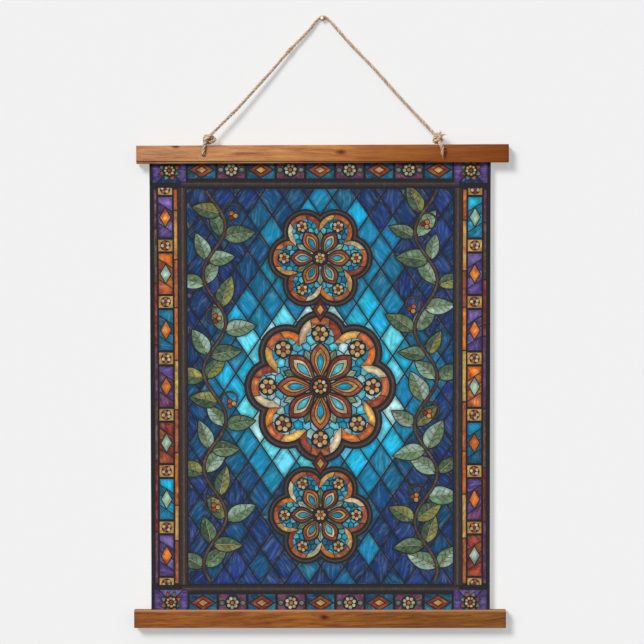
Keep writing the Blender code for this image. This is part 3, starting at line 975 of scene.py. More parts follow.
    def medallion(self, x: float, y: float, radius: float, lobes: int, large: bool) -> None:
        """Draw one medallion: a dark foil, a copper foil, blue pebbles and a flower.

        Args:
            x: Its centre.
            y: Its centre.
            radius: How far its lobes reach.
            lobes: How many lobes it has.
            large: Whether it is the large one in the middle.
        """
        turn = math.pi / 2 + (0.0 if large else math.pi / lobes)
        lobe = radius * (0.36 if large else 0.42)
        foil = Foil(x, y, lobes, turn, radius - lobe, lobe)
        rim, band = radius * 0.055, radius * 0.120
        for inset, ink in ((-2.6, Ink.LEAD), (0.6, Ink.BAR), (rim * 0.35, Ink.BAR_LIGHT),
                           (rim * 0.65, Ink.BAR), (rim, Ink.LEAD)):
            self.lead(foil.outline(inset), ink)
        self.copper_band(foil, rim + 2.6, rim + band)
        clip = self.lead(foil.outline(rim + band))
        names = "CYAN ICE ICE MIST MIST" if large else "CYAN CYAN ICE ICE AZURE"
        self.pebbles(clip, x, y, radius, band, inks(names))
        for _, heading in turns(lobes, turn):
            self.rosette(*away(x, y, radius * 0.70, heading), radius * 0.115, 6,
                         "CREAM AMBER", Ink.RUST)
        self.flower(x, y, radius * 0.52, lobes, turn, large)

    def copper_band(self, foil: Foil, outer_inset: float, inner_inset: float) -> None:
        """Divide a foil's rim, between two insets, into short panes of rust to amber."""
        steps = 12
        outer, inner = (foil.outline(inset, steps) for inset in (outer_inset, inner_inset))
        colours = inks("RUST COPPER CREAM ORANGE COPPER AMBER")
        size = len(outer)
        for number, first in enumerate(range(0, size, steps // 3)):
            ahead = [step % size for step in range(first, first + steps // 3 + 1)]
            loop = turned_left(np.vstack([outer[ahead], inner[ahead][::-1]]))
            heading = math.atan2(loop[0][1] - foil.y, loop[0][0] - foil.x) + math.pi / 2
            self.glass(grown(loop, -0.8), colours[number % len(colours)], heading, 0.9)

    def flower(self, x: float, y: float, reach: float, petals: int, turn: float,
               large: bool) -> None:
        """Draw a pointed flower: leaves between inlaid copper petals round a boss."""
        rib = np.stack([np.linspace(reach * 0.4, reach * 0.95, 4), np.zeros(4)], axis=1)
        for number, heading in turns(petals, turn + math.pi / petals):
            leaf = petal(x, y, heading, reach * 0.25, reach * 1.02, reach * 0.30, 0.55)
            self.leaded(leaf, Ink.SAGE if number % 2 else Ink.MINT, heading, 2.4, 1.0)
            self.lead(ribbon(placed(rib, x, y, heading), np.linspace(1.6, 0.7, 4)))
        width = 2 * reach * math.tan(math.pi / petals) * (0.62 if large else 0.52)
        for number, heading in turns(petals, turn):
            for start, end, share, steps, names, lead in (
                    (0.14, 1.12, 1.0, 10, "COPPER RUST", 3.0),
                    (0.26, 0.98, 0.60, 9, "AMBER CREAM", 1.8),
                    (0.36, 0.84, 0.34, 8, "CYAN ICE", 1.6)):
                leaf = petal(x, y, heading, reach * start, reach * end, width * share, 0.60, steps)
                self.leaded(leaf, inks(names)[number % 2], heading, lead, 0.9)
        self.leaded(circle(x, y, reach * 0.27, 24), Ink.BRICK, 0.4, 2.8)
        self.rosette(x, y, reach * 0.22, petals, "CREAM AMBER", Ink.ORANGE)

    def rosette(self, x: float, y: float, radius: float, petals: int, names: str,
                heart: Ink) -> None:
        """Draw a small round-petalled flower in two inks by turns, with a heart."""
        turn = self.dice.uniform(0, 1)
        self.lead(circle(x, y, radius * 1.08, 18))
        for number, heading in turns(petals, turn):
            leaf = circle(*away(x, y, radius * 0.62, heading), radius * min(0.40, 1.9 / petals), 10)
            self.leaded(leaf, inks(names)[number % 2], heading, radius * 0.07)
        self.leaded(circle(x, y, radius * 0.30, 10), heart, 0.3, radius * 0.09)

    def side_borders(self) -> None:
        """Draw the upright borders: dark bars, thin copper strips and long panes."""
        low, high = self.field_ends()
        colours = inks("PURPLE AZURE RUST PLUM TEAL COPPER PURPLE")
        blocks = len(colours)
        step = (high - low) / blocks
        for side in (-1, 1):
            self.lead(self.upright(side, self.field_half, 331, -3, self.height + 3))
            self.lead(self.upright(side, 261, 275, low - 4, high + 4), Ink.BAR)
            self.lead(self.upright(side, 265, 269, low - 4, high + 4), Ink.BAR_LIGHT)
            self.strip(side, 277.5, 283.5, low, high, 86.0, inks("COPPER AMBER ORANGE"))
            self.strip(side, 317.5, 322.5, low, high, 118.0, inks("PLUM BRICK STEM"))
            for number in range(blocks):
                bottom = low + number * step
                ink = colours[(number + (2 if side > 0 else 0)) % blocks]
                self.long_pane(side, bottom + 15, bottom + step - 15, ink)
                self.end_block(side, bottom - 13, bottom + 13)
            self.end_block(side, high - 13, high + 13)

    @staticmethod
    def upright(side: int, near: float, far: float, low: float, high: float) -> Loop:
        """Return a rectangle on one side of the cloth."""
        left, right = sorted((side * near, side * far))
        return box(left, low, right, high)

    def strip(self, side: int, near: float, far: float, low: float, high: float,
              pitch: float, colours: Sequence[Ink]) -> None:
        """Draw a thin upright strip of glass, cut into lengths."""
        bottom, number = low, 0
        while bottom < high - 6:
            top = min(high, bottom + pitch * self.dice.uniform(0.8, 1.2))
            self.glass(self.upright(side, near, far, bottom + 1.2, top - 1.2),
                       colours[number % len(colours)], math.pi / 2, 0.9)
            bottom, number = top, number + 1

    def long_pane(self, side: int, low: float, high: float, ink: Ink) -> None:
        """Draw a long pane, split by slanting leads, with a lozenge in its middle."""
        pane = self.upright(side, 286.5, 314.5, low, high)
        clip = self.lead(grown(pane, 1.2))
        second = dict(zip(inks("PURPLE AZURE RUST PLUM TEAL COPPER"),
                          inks("LILAC CYAN BRICK PURPLE AZURE ORANGE")))[ink]
        left, right = pane[0][0], pane[1][0]
        marks = np.linspace(low, high, 5)
        leans = np.array((0.0, 9.0, 9.0, 9.0, 0.0)) * side
        for number in range(4):
            (bottom, top), (first, last) = marks[number:number + 2], leans[number:number + 2]
            loop = np.array(((left, bottom - first), (right, bottom + first),
                             (right, top + last), (left, top - last)))
            self.glass(grown(loop, -0.9), second if number % 2 else ink,
                       clip=clip, vary=0.2, strength=1.0)
        heart = Ink.ORANGE if ink in inks("PURPLE PLUM TEAL") else Ink.MINT
        self.leaded(lozenge(side * 300.5, (low + high) / 2, 11.0, 19.0), heart, 1.2, 2.0)

    def end_block(self, side: int, low: float, high: float) -> None:
        """Draw a short amber block with a small flower."""
        self.lead(self.upright(side, 285, 316, low, high))
        self.glass(self.upright(side, 287, 314, low + 2, high - 2), Ink.AMBER, 0.8, 1.0)
        self.rosette(side * 300.5, (low + high) / 2, 9.5, 5, "CREAM COPPER", Ink.BRICK)

    def ends(self) -> tuple[tuple[float, int], ...]:
        """Return where each bar's edge crosses the print, and which way is inwards."""
        return (self.hidden, 1), (self.height - self.hidden, -1)

    @staticmethod
    def level(edge: float, inward: int, near: float, far: float, half: float) -> Loop:
        """Return a level band, its sides at distances inwards from a bar's edge."""
        low, high = sorted((edge + inward * near, edge + inward * far))
        return box(-half, low, half, high)

    def end_borders(self) -> None:
        """Draw the level borders that run in under the bars."""
        count = 9
        step = 2 * self.field_half / count
        for edge, inward in self.ends():
            self.lead(self.level(edge, inward, -30, 48, 331))
            self.lead(self.level(edge, inward, 36, 45, 270), Ink.BAR)
            self.lead(self.level(edge, inward, 39, 41, 270), Ink.BAR_LIGHT)
            for number in range(count):
                x = (number + 0.5) * step - self.field_half
                self.end_panel(x, edge + inward * 13, step, number % 2 == 0)

    def end_panel(self, x: float, y: float, step: float, plain: bool) -> None:
        """Draw one panel of a level border: a lozenge between four corners, or a flower."""
        half, tall = step / 2 - 1.4, 17.5
        frame_box = box(x - half, y - tall, x + half, y + tall)
        clip = self.lead(frame_box)
        if plain:
            for across, up, ink in ((-1, -1, Ink.TEAL), (1, -1, Ink.AZURE),
                                    (1, 1, Ink.TEAL), (-1, 1, Ink.DEEP)):
                far_x, far_y = x + across * half, y + up * tall
                corner = turned_left(np.array(((x, y), (far_x, y), (far_x, far_y), (x, far_y))))
                self.glass(grown(corner, -1.0), ink, clip=clip, strength=1.0)
            for share, ink, lead in ((1.0, Ink.RUST, 2.4), (0.45, Ink.AMBER, 1.8)):
                self.leaded(lozenge(x, y, (half - 3) * share, (tall - 2.5) * share), ink, 0.4, lead)
        else:
            self.glass(grown(frame_box, -1.2), Ink.PLUM, clip=clip, strength=1.0)
            self.rosette(x, y, 14.0, 7, "CREAM MINT", Ink.ORANGE)
            for heading in (math.pi, 0.0):
                leaf = petal(x, y, heading, 14.5, half - 1, 10.0, 0.5, 6)
                self.leaded(leaf, Ink.SAGE, 0.0, 1.6)

    def corners(self) -> None:
        """Draw a square with a large flower in each corner."""
        wedge = np.array(((0.0, 0.0), (60.0, -60.0), (60.0, 60.0)))
        for side in (-1, 1):
            for edge, inward in self.ends():
                y = edge + inward * 14
                clip = self.lead(grown(self.upright(side, 262, 322, y - 22, y + 22), 2.0))
                centre = (side * 292.0, y)
                for quarter, ink in enumerate(inks("PURPLE LILAC PURPLE INDIGO")):
                    heading = quarter * math.pi / 2
                    self.glass(grown(placed(wedge, *centre, heading), -1.1), ink,
                               heading, 1.0, clip)
                for number in range(8):
                    heading = number * math.pi / 4 + math.pi / 8
                    leaf = petal(*centre, heading, 8.0, 21.0, 8.5, 0.5, 6)
                    self.leaded(leaf, Ink.SAGE if number % 2 else Ink.COPPER, heading, 1.5)
                self.rosette(*centre, 12.5, 8, "CREAM AMBER", Ink.RUST)


def held_by(loop: Loop, points: np.ndarray) -> np.ndarray:
    """Find which points lie inside an outline, which may cross itself.

    Args:
        loop: The closed outline.
        points: The points, in order of x.

    Returns:
        The numbers of the points inside.
    """
    low, high = loop.min(axis=0), loop.max(axis=0)
    first, last = np.searchsorted(points[:, 0], (low[0], high[0]))
    near = points[first:last]
    rows = np.flatnonzero((near[:, 1] > low[1]) & (near[:, 1] < high[1]))
    near = near[rows]
    turns = np.zeros(len(near), dtype=int)
    for start, end in zip(loop, np.roll(loop, -1, axis=0)):
        side = ((end[0] - start[0]) * (near[:, 1] - start[1])
                - (near[:, 0] - start[0]) * (end[1] - start[1]))
        turns += (start[1] <= near[:, 1]) & (end[1] > near[:, 1]) & (side > 0)
        turns -= (start[1] > near[:, 1]) & (end[1] <= near[:, 1]) & (side < 0)
    return rows[turns != 0] + first


@dataclass
class PrintedCloth:
    """The hung cloth, a thin sheet that carries the print.

    Attributes:
        top: Height of the cloth's top edge.
        height: The cloth's length from top to bottom.
        top_width: Its width at the top.
        bottom_width: Its width at the bottom.
        top_x: Its middle at the top.
        bottom_x: Its middle at the bottom.
        edge_draw: How far each side is drawn in at mid height.
        wave_depth: How deep its soft waves are.
        wave_fade: How far below a bar the waves are full.
        clamped: How much of each end the bars hold.
        thickness: The sheet's thickness.
        grid_mm: Spacing of the points inside the panes, in millimetres.
    """

    top: float = -0.2555
    height: float = 0.914
    top_width: float = 0.661
    bottom_width: float = 0.6566
    top_x: float = -0.0048
    bottom_x: float = -0.0037
    edge_draw: float = 0.0012
    wave_depth: float = 0.0026
    wave_fade: float = 0.120
    clamped: float = 0.0245
    thickness: float = 0.0008
    grid_mm: float = 7.7

    def stand_off(self, x: np.ndarray, down: np.ndarray) -> np.ndarray:
        """Say how far the hung cloth stands off its plane, as its solid does.

        Args:
            x: Distance from the cloth's middle.
            down: Distance from its top edge.

        Returns:
            The distance towards the wall.
        """
        held = np.minimum(down, self.height - down)
        free = np.clip((held - self.clamped) / self.wave_fade, 0.0, 1.0)
        fade = free * free * (3 - 2 * free)
        across = x / self.top_width
        along = down / self.height
        turn = 2 * math.pi
        swell = 0.55 * np.sin(turn * (0.8 * across + 0.55 * along + 0.10))
        ripple = 0.30 * np.sin(turn * (2.1 * across - 0.40 * along + 0.35))
        edge = 0.35 * np.abs(2 * across) ** 3 * np.sin(turn * (1.6 * along + 0.2))
        return self.wave_depth * fade * (swell + ripple + edge)

    def hang(self, flat: np.ndarray) -> np.ndarray:
        """Place points of the flat drawing, in millimetres, on the hung cloth."""
        along = 1.0 - flat[:, 1] * MM / self.height
        width = self.top_width + along * (self.bottom_width - self.top_width)
        width = width - 2 * self.edge_draw * np.sin(math.pi * along)
        centre = self.top_x + along * (self.bottom_x - self.top_x)
        x = flat[:, 0] * MM / self.top_width * width
        down = along * self.height
        y = CLOTH_Y + self.stand_off(x, down)
        return np.stack([centre + x, y, self.top - down], axis=1)

    def hole_loops(self) -> list[Loop]:
        """Return the outlines of the two punched holes, on the flat cloth."""
        y = (HOLE_Z - self.top + self.height) / MM
        return [circle((side * HOLE_X - self.top_x) / MM, y, HOLE_RADII[side] / MM, 20)
                for side in (-1, 1)]

    def outlines(self, cartoon: Cartoon) -> tuple[list[Vector], list[tuple[int, int]]]:
        """Return the points and edges of every shape, of the cloth and of its holes."""
        points: list[Vector] = []
        edges: list[tuple[int, int]] = []
        shapes = [pane.outline for pane in cartoon.panes]
        for loop in (*shapes, cartoon.sheet(), *self.hole_loops()):
            start = len(points)
            points.extend(Vector((float(x), float(y))) for x, y in loop)
            last = len(points) - 1
            edges.extend((number, number + 1) for number in range(start, last))
            edges.append((last, start))
        return points, edges

    def grid(self, cartoon: Cartoon) -> list[Vector]:
        """Return the points inside the panes, in staggered rows."""
        across = np.arange(-cartoon.half_width + 4, cartoon.half_width - 3, self.grid_mm)
        upward = np.arange(4.0, cartoon.height - 3, self.grid_mm)
        shifts = [self.grid_mm / 2 if row % 2 else 0.0 for row in range(len(upward))]
        return [Vector((float(x + shift), float(y)))
                for y, shift in zip(upward, shifts) for x in across]

    @staticmethod
    def cut(points: list[Vector],
            edges: list[tuple[int, int]]) -> tuple[np.ndarray, np.ndarray]:
        """Join points into triangles that keep the edges, and return both."""
        flat, _, triangles, *_ = delaunay_2d_cdt(points, edges, [], 0, 0.02, False)
        return np.array([tuple(point) for point in flat]), np.array(triangles)

    @staticmethod
    def shown(flat: np.ndarray, triangles: np.ndarray,
              look: np.ndarray) -> tuple[list[Vector], list[tuple[int, int]]]:
        """Find the edges where the print changes.

        Args:
            flat: The points.
            triangles: The triangles.
            look: The number of the shape that shows at each triangle.

        Returns:
            The points and edges that are still needed.
        """
        edges = np.sort(np.vstack([triangles[:, [0, 1]], triangles[:, [1, 2]],
                                   triangles[:, [2, 0]]]), axis=1)
        order = np.lexsort((edges[:, 1], edges[:, 0]))
        edges, look = edges[order], np.tile(look, 3)[order]
        same = (edges[1:] == edges[:-1]).all(axis=1) & (look[1:] != look[:-1])
        used, numbers = np.unique(edges[1:][same], return_inverse=True)
        points = [Vector(point) for point in flat[used].tolist()]
        return points, [tuple(pair) for pair in numbers.reshape(-1, 2).tolist()]

    def paint(self, cartoon: Cartoon, flat: np.ndarray,
              triangles: np.ndarray) -> tuple[np.ndarray, np.ndarray]:
        """Find which shape shows at each triangle.

        Args:
            cartoon: The drawing.
            flat: The points.
            triangles: The triangles.

        Returns:
            Which triangles are kept, and the number of each triangle's shape. All lead of
            one colour counts as one shape.
        """
        middles = flat[triangles].mean(axis=1)
        order = np.argsort(middles[:, 0])
        middles = middles[order]
        clips = {pane.clip for pane in cartoon.panes}
        members: dict[int, np.ndarray] = {}
        painted = np.zeros(len(middles), dtype=int)
        for number, pane in enumerate(cartoon.panes):
            inside = held_by(pane.outline, middles)
            if pane.clip >= 0:
                inside = inside[members[pane.clip][inside]]
            if number in clips:
                members[number] = np.zeros(len(middles), dtype=bool)
                members[number][inside] = True
            painted[inside] = number
        kept = np.zeros(len(middles), dtype=bool)
        kept[held_by(cartoon.sheet(), middles)] = True
        for loop in self.hole_loops():
            kept[held_by(loop, middles)] = False
        alike: dict[Colour, int] = {}
        looks = np.array([number if pane.glass else alike.setdefault(tuple(pane.colour), number)
                          for number, pane in enumerate(cartoon.panes)])
        back = np.empty_like(order)
        back[order] = np.arange(len(order))
        return kept[back], looks[painted][back]

    def build(self) -> bpy.types.Object:
        """Make the sheet with its print."""
        cartoon = Cartoon()
        cartoon.draw()
        flat, triangles = self.cut(*self.outlines(cartoon))
        kept, painted = self.paint(cartoon, flat, triangles)
        points, edges = self.shown(flat, triangles, np.where(kept, painted, -1))
        flat, triangles = self.cut(points + self.grid(cartoon), edges)
        kept, painted = self.paint(cartoon, flat, triangles)
        LOG.info("print: %d shapes, %d triangles", len(cartoon.panes), kept.sum())
        return self.to_object(cartoon, flat, triangles[kept], painted[kept].tolist())

    def to_object(self, cartoon: Cartoon, flat: np.ndarray, triangles: np.ndarray,
                  painted: list[int]) -> bpy.types.Object:
        """Hang the triangles and store the print in the mesh's attributes."""
        used = np.unique(triangles)
        renumber = np.full(len(flat), -1)
        renumber[used] = np.arange(len(used))
        flat = flat[used]
        triangles = renumber[triangles]
        mesh = bpy.data.meshes.new("printed_cloth")
        mesh.from_pydata(self.hang(flat).tolist(), [], triangles.tolist())
        self.store_paint(mesh, cartoon, painted)
        self.store_edge(mesh, flat, triangles, painted)
        mesh.shade_smooth()
        item = put("printed_cloth", mesh)
        for finish in (PrintFinish("print_front"), ClothBackFinish("cloth_back")):
            mesh.materials.append(finish.material())
        shell = item.modifiers.new("thickness", "SOLIDIFY")
        shell.thickness = self.thickness
        shell.offset = 0.0
        shell.material_offset = 1
        shell.material_offset_rim = 1
        plain = baked(item)
        self.even_sides(plain.data, flat, 2 * len(triangles))
        return plain

    def facing(self, flat: np.ndarray) -> np.ndarray:
        """Return which way the front faces at each point, from the cloth's slope over 4 mm."""
        right, up = np.array((2.0, 0.0)), np.array((0.0, 2.0))
        across = self.hang(flat + right) - self.hang(flat - right)
        upward = self.hang(flat + up) - self.hang(flat - up)
        normals = np.cross(across, upward)
        return normals / np.linalg.norm(normals, axis=1)[:, None]

    def even_sides(self, mesh: bpy.types.Mesh, flat: np.ndarray, rim_start: int) -> None:
        """Set front and back evenly apart and shade them by the cloth's own slope.

        Args:
            mesh: The thickened sheet: the front's points, then the back's.
            flat: The points before they were hung.
            rim_start: The first polygon of the cut edges.
        """
        middle, normals = self.hang(flat), self.facing(flat)
        shift = normals * self.thickness / 2
        mesh.vertices.foreach_set("co", np.vstack([middle + shift, middle - shift]).ravel())
        mesh.update()
        corners = np.empty(len(mesh.loops), dtype=np.int32)
        mesh.loops.foreach_get("vertex_index", corners)
        shading = np.vstack([normals, -normals])[corners]
        for polygon in mesh.polygons[rim_start:]:
            shading[polygon.loop_start:polygon.loop_start + polygon.loop_total] = polygon.normal
        mesh.normals_split_custom_set(shading.tolist())

    @staticmethod
    def store_paint(mesh: bpy.types.Mesh, cartoon: Cartoon, painted: list[int]) -> None:
        """Write each triangle's colour and brush strokes on its corners."""
        glass = mesh.color_attributes.new("glass", "FLOAT_COLOR", "CORNER")
        stroke = mesh.color_attributes.new("stroke", "FLOAT_COLOR", "CORNER")
        colours = np.zeros((len(painted) * 3, 4))
        strokes = np.zeros((len(painted) * 3, 4))
        for face, number in enumerate(painted):
            pane = cartoon.panes[number]
            rows = slice(face * 3, face * 3 + 3)
            colours[rows] = (*pane.colour, 1.0 if pane.glass else 0.0)
            strokes[rows] = (pane.seed, 0.5 + 0.5 * math.cos(pane.angle),
                             0.5 + 0.5 * math.sin(pane.angle), pane.strength)
        glass.data.foreach_set("color", colours.ravel())
        stroke.data.foreach_set("color", strokes.ravel())

    @staticmethod
    def store_edge(mesh: bpy.types.Mesh, flat: np.ndarray, triangles: np.ndarray,
                   painted: list[int]) -> None:
        """Write each point's distance to the nearest edge between two painted shapes."""
        owner: dict[tuple[int, int], int] = {}
        rims: set[tuple[int, int]] = set()
        for face, triangle in enumerate(triangles.tolist()):
            for first, second in zip(triangle, triangle[1:] + triangle[:1]):
                key = (first, second) if first < second else (second, first)
                if owner.setdefault(key, painted[face]) != painted[face]:
                    rims.add(key)
        marks = []
        on_rim = set()
        for first, second in rims:
            on_rim.update((first, second))
            pieces = max(1, math.ceil(np.linalg.norm(flat[second] - flat[first]) / 1.5))
            shares = np.linspace(0.0, 1.0, pieces + 1)[:, None]
            marks.append(flat[first] + shares * (flat[second] - flat[first]))
        marks = np.vstack(marks)
        tree = KDTree(len(marks))
        for number, (x, y) in enumerate(marks):
            tree.insert((x, y, 0.0), number)
        tree.balance()
        distance = [0.0 if number in on_rim else tree.find((x, y, 0.0))[2]
                    for number, (x, y) in enumerate(flat)]
        attribute = mesh.attributes.new("edge", "FLOAT", "POINT")
        attribute.data.foreach_set("value", distance)

    def dress(self) -> bpy.types.Object:
        cloth = self.build()
        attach(cloth, BODY)
        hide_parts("cloth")
        report(cloth)
        return cloth


def put(name: str, data: bpy.types.ID) -> bpy.types.Object:
    """Make an object of a mesh, a camera or a light and link it to the scene."""
    item = bpy.data.objects.new(name, data)
    bpy.context.scene.collection.objects.link(item)
    return item


def written(name: str, work: bmesh.types.BMesh) -> bpy.types.Mesh:
    """Write a shape that is done into a new mesh and free it."""
    mesh = bpy.data.meshes.new(name)
    work.to_mesh(mesh)
    work.free()
    return mesh


def baked(item: bpy.types.Object) -> bpy.types.Object:
    """Turn an object with modifiers into a plain mesh object of the same name.

    Args:
        item: The object; it is removed.

    Returns:
        The plain object, at the origin.
    """
    bpy.context.view_layer.update()
    graph = bpy.context.evaluated_depsgraph_get()
    mesh = bpy.data.meshes.new_from_object(item.evaluated_get(graph), preserve_all_data_layers=True,
                                           depsgraph=graph)
    mesh.transform(item.matrix_world)
    name = item.name
    bpy.data.objects.remove(item, do_unlink=True)
    mesh.name = name
    return put(name, mesh)


def report(item: bpy.types.Object) -> None:
    """Log a piece's name and size."""
    low = [min(corner[axis] for corner in item.bound_box) for axis in range(3)]
    high = [max(corner[axis] for corner in item.bound_box) for axis in range(3)]
    size = " x ".join(f"{(top - bottom) / MM:.1f}" for bottom, top in zip(low, high))
    triangles = sum(len(face.vertices) - 2 for face in item.data.polygons)
    LOG.info("%s: %s mm, %d triangles", item.name, size, triangles)


@dataclass
class Slat:
    """One wooden slat, its edges rounded and slightly worn.

    Attributes:
        node: The solid that it stands for.
        wood: Its finish.
        tilt: How far the right end is up, in radians.
        bored: Whether the twine's holes go through it.
        seed: Shifts the wear.
        length: Its length.
        height: Its height.
        edge_radius: The radius of its rounded edges.
        wear: How far its long edges are rubbed down, at most.
        loops: How many parts its length is cut into.
    """

    node: str
    wood: OiledWood
    tilt: float
    bored: bool
    seed: float
    length: float = 0.720
    height: float = 0.035
    edge_radius: float = 0.0009
    wear: float = 0.00014
    loops: int = 90

    def build(self) -> bpy.types.Object:
        """Make the slat where its solid is."""
        low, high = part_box(self.node)
        middle = (low + high) / 2
        work = bmesh.new()
        bmesh.ops.create_cube(work, size=1.0)
        bmesh.ops.scale(work, vec=(self.length, SLAT_DEPTH, self.height), verts=work.verts)
        bmesh.ops.bevel(work, geom=list(work.edges), offset=self.edge_radius, segments=4,
                        profile=0.5, affect="EDGES")
        for cut in range(1, self.loops):
            x = -self.length / 2 + self.length * cut / self.loops
            geometry = work.verts[:] + work.edges[:] + work.faces[:]
            bmesh.ops.bisect_plane(work, geom=geometry, plane_co=(x, 0, 0), plane_no=(1, 0, 0))
        self.wear_edges(work)
        bmesh.ops.recalc_face_normals(work, faces=work.faces)
        cosine, sine = math.cos(self.tilt), math.sin(self.tilt)
        for vert in work.verts:
            x, y, z = vert.co
            vert.co = (x * cosine - z * sine, y, x * sine + z * cosine)
            vert.co += middle
        mesh = written(self.node + "_wood", work)
        mesh.materials.append(self.wood.material())
        item = put(mesh.name, mesh)
        if self.bored:
            item = self.bore(item)
        item.data.shade_smooth()
        item.data.set_sharp_from_angle(angle=math.radians(48))
        return item

    def wear_edges(self, work: bmesh.types.BMesh) -> None:
        """Rub the long edges unevenly, by less than the gap to the next piece."""
        half = (SLAT_DEPTH / 2, self.height / 2)
        for vert in work.verts:
            near = abs(vert.co.y) / half[0] + abs(vert.co.z) / half[1]
            if near < 1.6:
                continue
            place = Vector((vert.co.x * 45, vert.co.y * 200 + self.seed, vert.co.z * 200))
            amount = self.wear * (0.5 + noise.noise(place))
            inward = Vector((0.0, -vert.co.y / half[0], -vert.co.z / half[1]))
            vert.co += inward.normalized() * amount

    def bore(self, item: bpy.types.Object) -> bpy.types.Object:
        """Drill the twine's two holes."""
        cutters = []
        for side in (-1, 1):
            work = bmesh.new()
            bmesh.ops.create_cone(work, cap_ends=True, segments=40, radius1=HOLE_RADII[side],
                                  radius2=HOLE_RADII[side], depth=4 * SLAT_DEPTH)
            cutter = put("drill", written("drill", work))
            cutter.location = (side * HOLE_X, CLOTH_Y, HOLE_Z)
            cutter.rotation_euler.x = math.pi / 2
            cutters.append(cutter)
            cut = item.modifiers.new("drilled", "BOOLEAN")
            cut.operation = "DIFFERENCE"
            cut.solver = "EXACT"
            cut.object = cutter
        plain = baked(item)
        for cutter in cutters:
            bpy.data.objects.remove(cutter, do_unlink=True)
        return plain

    def dress(self) -> bpy.types.Object:
        item = self.build()
        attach(item, BODY)
        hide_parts(self.node)
        report(item)
        return item


@dataclass
class HangerBars:
    """The two bars, each of a front and a back slat.

    Attributes:
        top_tilt: How far the top bar's right end is up, in radians.
    """

    top_tilt: float = math.radians(0.24)

    def slats(self) -> Iterable[Slat]:
        """List the four slats with their finishes."""
        # The ground ramps are read off the lit bars: paler to the left, partly wood tone and partly a
        # painted sheen from the light at the upper left
        top = {"tones_and_sheen": ((-0.365, linear(182, 126, 95)), (-0.14, linear(190, 131, 87)),
                         (0.03, linear(175, 111, 61)), (0.15, linear(146, 83, 36)),
                         (0.365, linear(118, 55, 6))),
               "golden": (1.22, 1.40, 1.10), "streak": linear(122, 58, 30),
               "centre_z": -0.2625, "slope": math.tan(self.top_tilt)}
        bottom = {"tones_and_sheen": ((-0.370, linear(136, 78, 35)), (-0.14, linear(144, 85, 38)),
                            (0.15, linear(123, 73, 31)), (0.360, linear(117, 71, 33))),
                  "golden": (1.50, 1.66, 1.25), "streak": linear(88, 36, 16),
                  "centre_z": -1.1625, "slope": 0.0}
        yield Slat("top_front_slat",
                   OiledWood("oiled_wood_top_front", **top, seed=3.0, streakiness=0.42,
                             knots=((0.036, -0.2592, 1.25), (-0.2836, -0.2478, 0.9)),
                             # the top front slat's lower edge gets a painted shade line
                             shade_line_z=-0.2772, shade_line_depth=0.80),
                   self.top_tilt, True, 1.0)
        yield Slat("top_back_slat",
                   OiledWood("oiled_wood_top_back", **top, seed=11.0,
                             knots=((0.21, -0.268, 1.0),)),
                   self.top_tilt, True, 2.0)
        yield Slat("bottom_front_slat",
                   OiledWood("oiled_wood_bottom_front", **bottom, seed=23.0, streakiness=0.82,
                             knots=((0.003, -1.1588, 1.1),), rake=-0.045, lit_edge=0.60),
                   0.0, False, 3.0)
        yield Slat("bottom_back_slat",
                   OiledWood("oiled_wood_bottom_back", **bottom, seed=27.0,
                             knots=((-0.17, -1.168, 1.0),)),
                   0.0, False, 4.0)

    def dress(self) -> list[bpy.types.Object]:
        return [slat.dress() for slat in self.slats()]


# The twine's route, within 2 mm of the solid's, as x and z
TWINE_ROUTE = (
    (-0.2096, -0.2192), (-0.187, -0.1966), (-0.16, -0.1694), (-0.1289, -0.1349), (-0.0993, -0.1022),
    (-0.0623, -0.0594), (-0.0412, -0.0383), (-0.0232, -0.0187), (-0.011, -0.0034), (0.0, 0.0039),
    (0.011, -0.0014), (0.0234, -0.0148), (0.0364, -0.0297), (0.0494, -0.0444), (0.0702, -0.0662),
    (0.1014, -0.0987), (0.1448, -0.1476), (0.181, -0.1866), (0.2135, -0.2211),
)

# Thick places along the twine: x of the middle, half length and how much thicker
SLUBS = (
    (-0.17, 0.009, 0.16), (-0.116, 0.012, 0.1), (-0.064, 0.006, 0.34), (0.056, 0.01, 0.12),
    (0.125, 0.012, 0.1), (0.192, 0.008, 0.14),
)

# A loop's way from its knot through the bar: share of the way to the hole in x, y, z
# and thickness
LOOP_ROUTE = (
    (0.1, -0.019, -0.235, 1.2), (0.4, -0.0236, -0.238, 1.2), (0.72, -0.0281, -0.2424, 1.22),
    (0.88, -0.0299, -0.248, 1.25), (0.96, -0.0297, -0.254, 1.2), (1.0, -0.0296, -0.2586, 1.18),
    (1.0, -0.0286, -0.2618, 1.22), (1.0, -0.0256, -0.2638, 1.25), (1.0, -0.021, -0.264, 1.25),
    (1.0, -0.016, -0.264, 1.25), (1.0, -0.011, -0.264, 1.25), (1.0, -0.0068, -0.2636, 1.2),
    (1.0, -0.0042, -0.2618, 1.0), (1.0, -0.0029, -0.2586, 1.0), (0.96, -0.0028, -0.253, 1.0),
    (0.88, -0.0029, -0.2472, 1.0), (0.66, -0.005, -0.2422, 1.05), (0.35, -0.011, -0.2378, 1.1),
    (0.1, -0.0175, -0.235, 1.2),
)

# The right knot's cut end down the front, fraying to a point: x, y, z and thickness
TAIL_ROUTE = (
    (0.2232, -0.0215, -0.235, 1.05), (0.2258, -0.0268, -0.239, 1.2), (0.2284, -0.0322, -0.2436, 1.36),
    (0.2302, -0.0346, -0.249, 1.36), (0.231, -0.0348, -0.254, 1.12), (0.2313, -0.0343, -0.2584, 0.8),
    (0.2315, -0.0336, -0.2626, 0.5), (0.2317, -0.0331, -0.2668, 0.25), (0.2318, -0.0328, -0.27, 0.08),
)

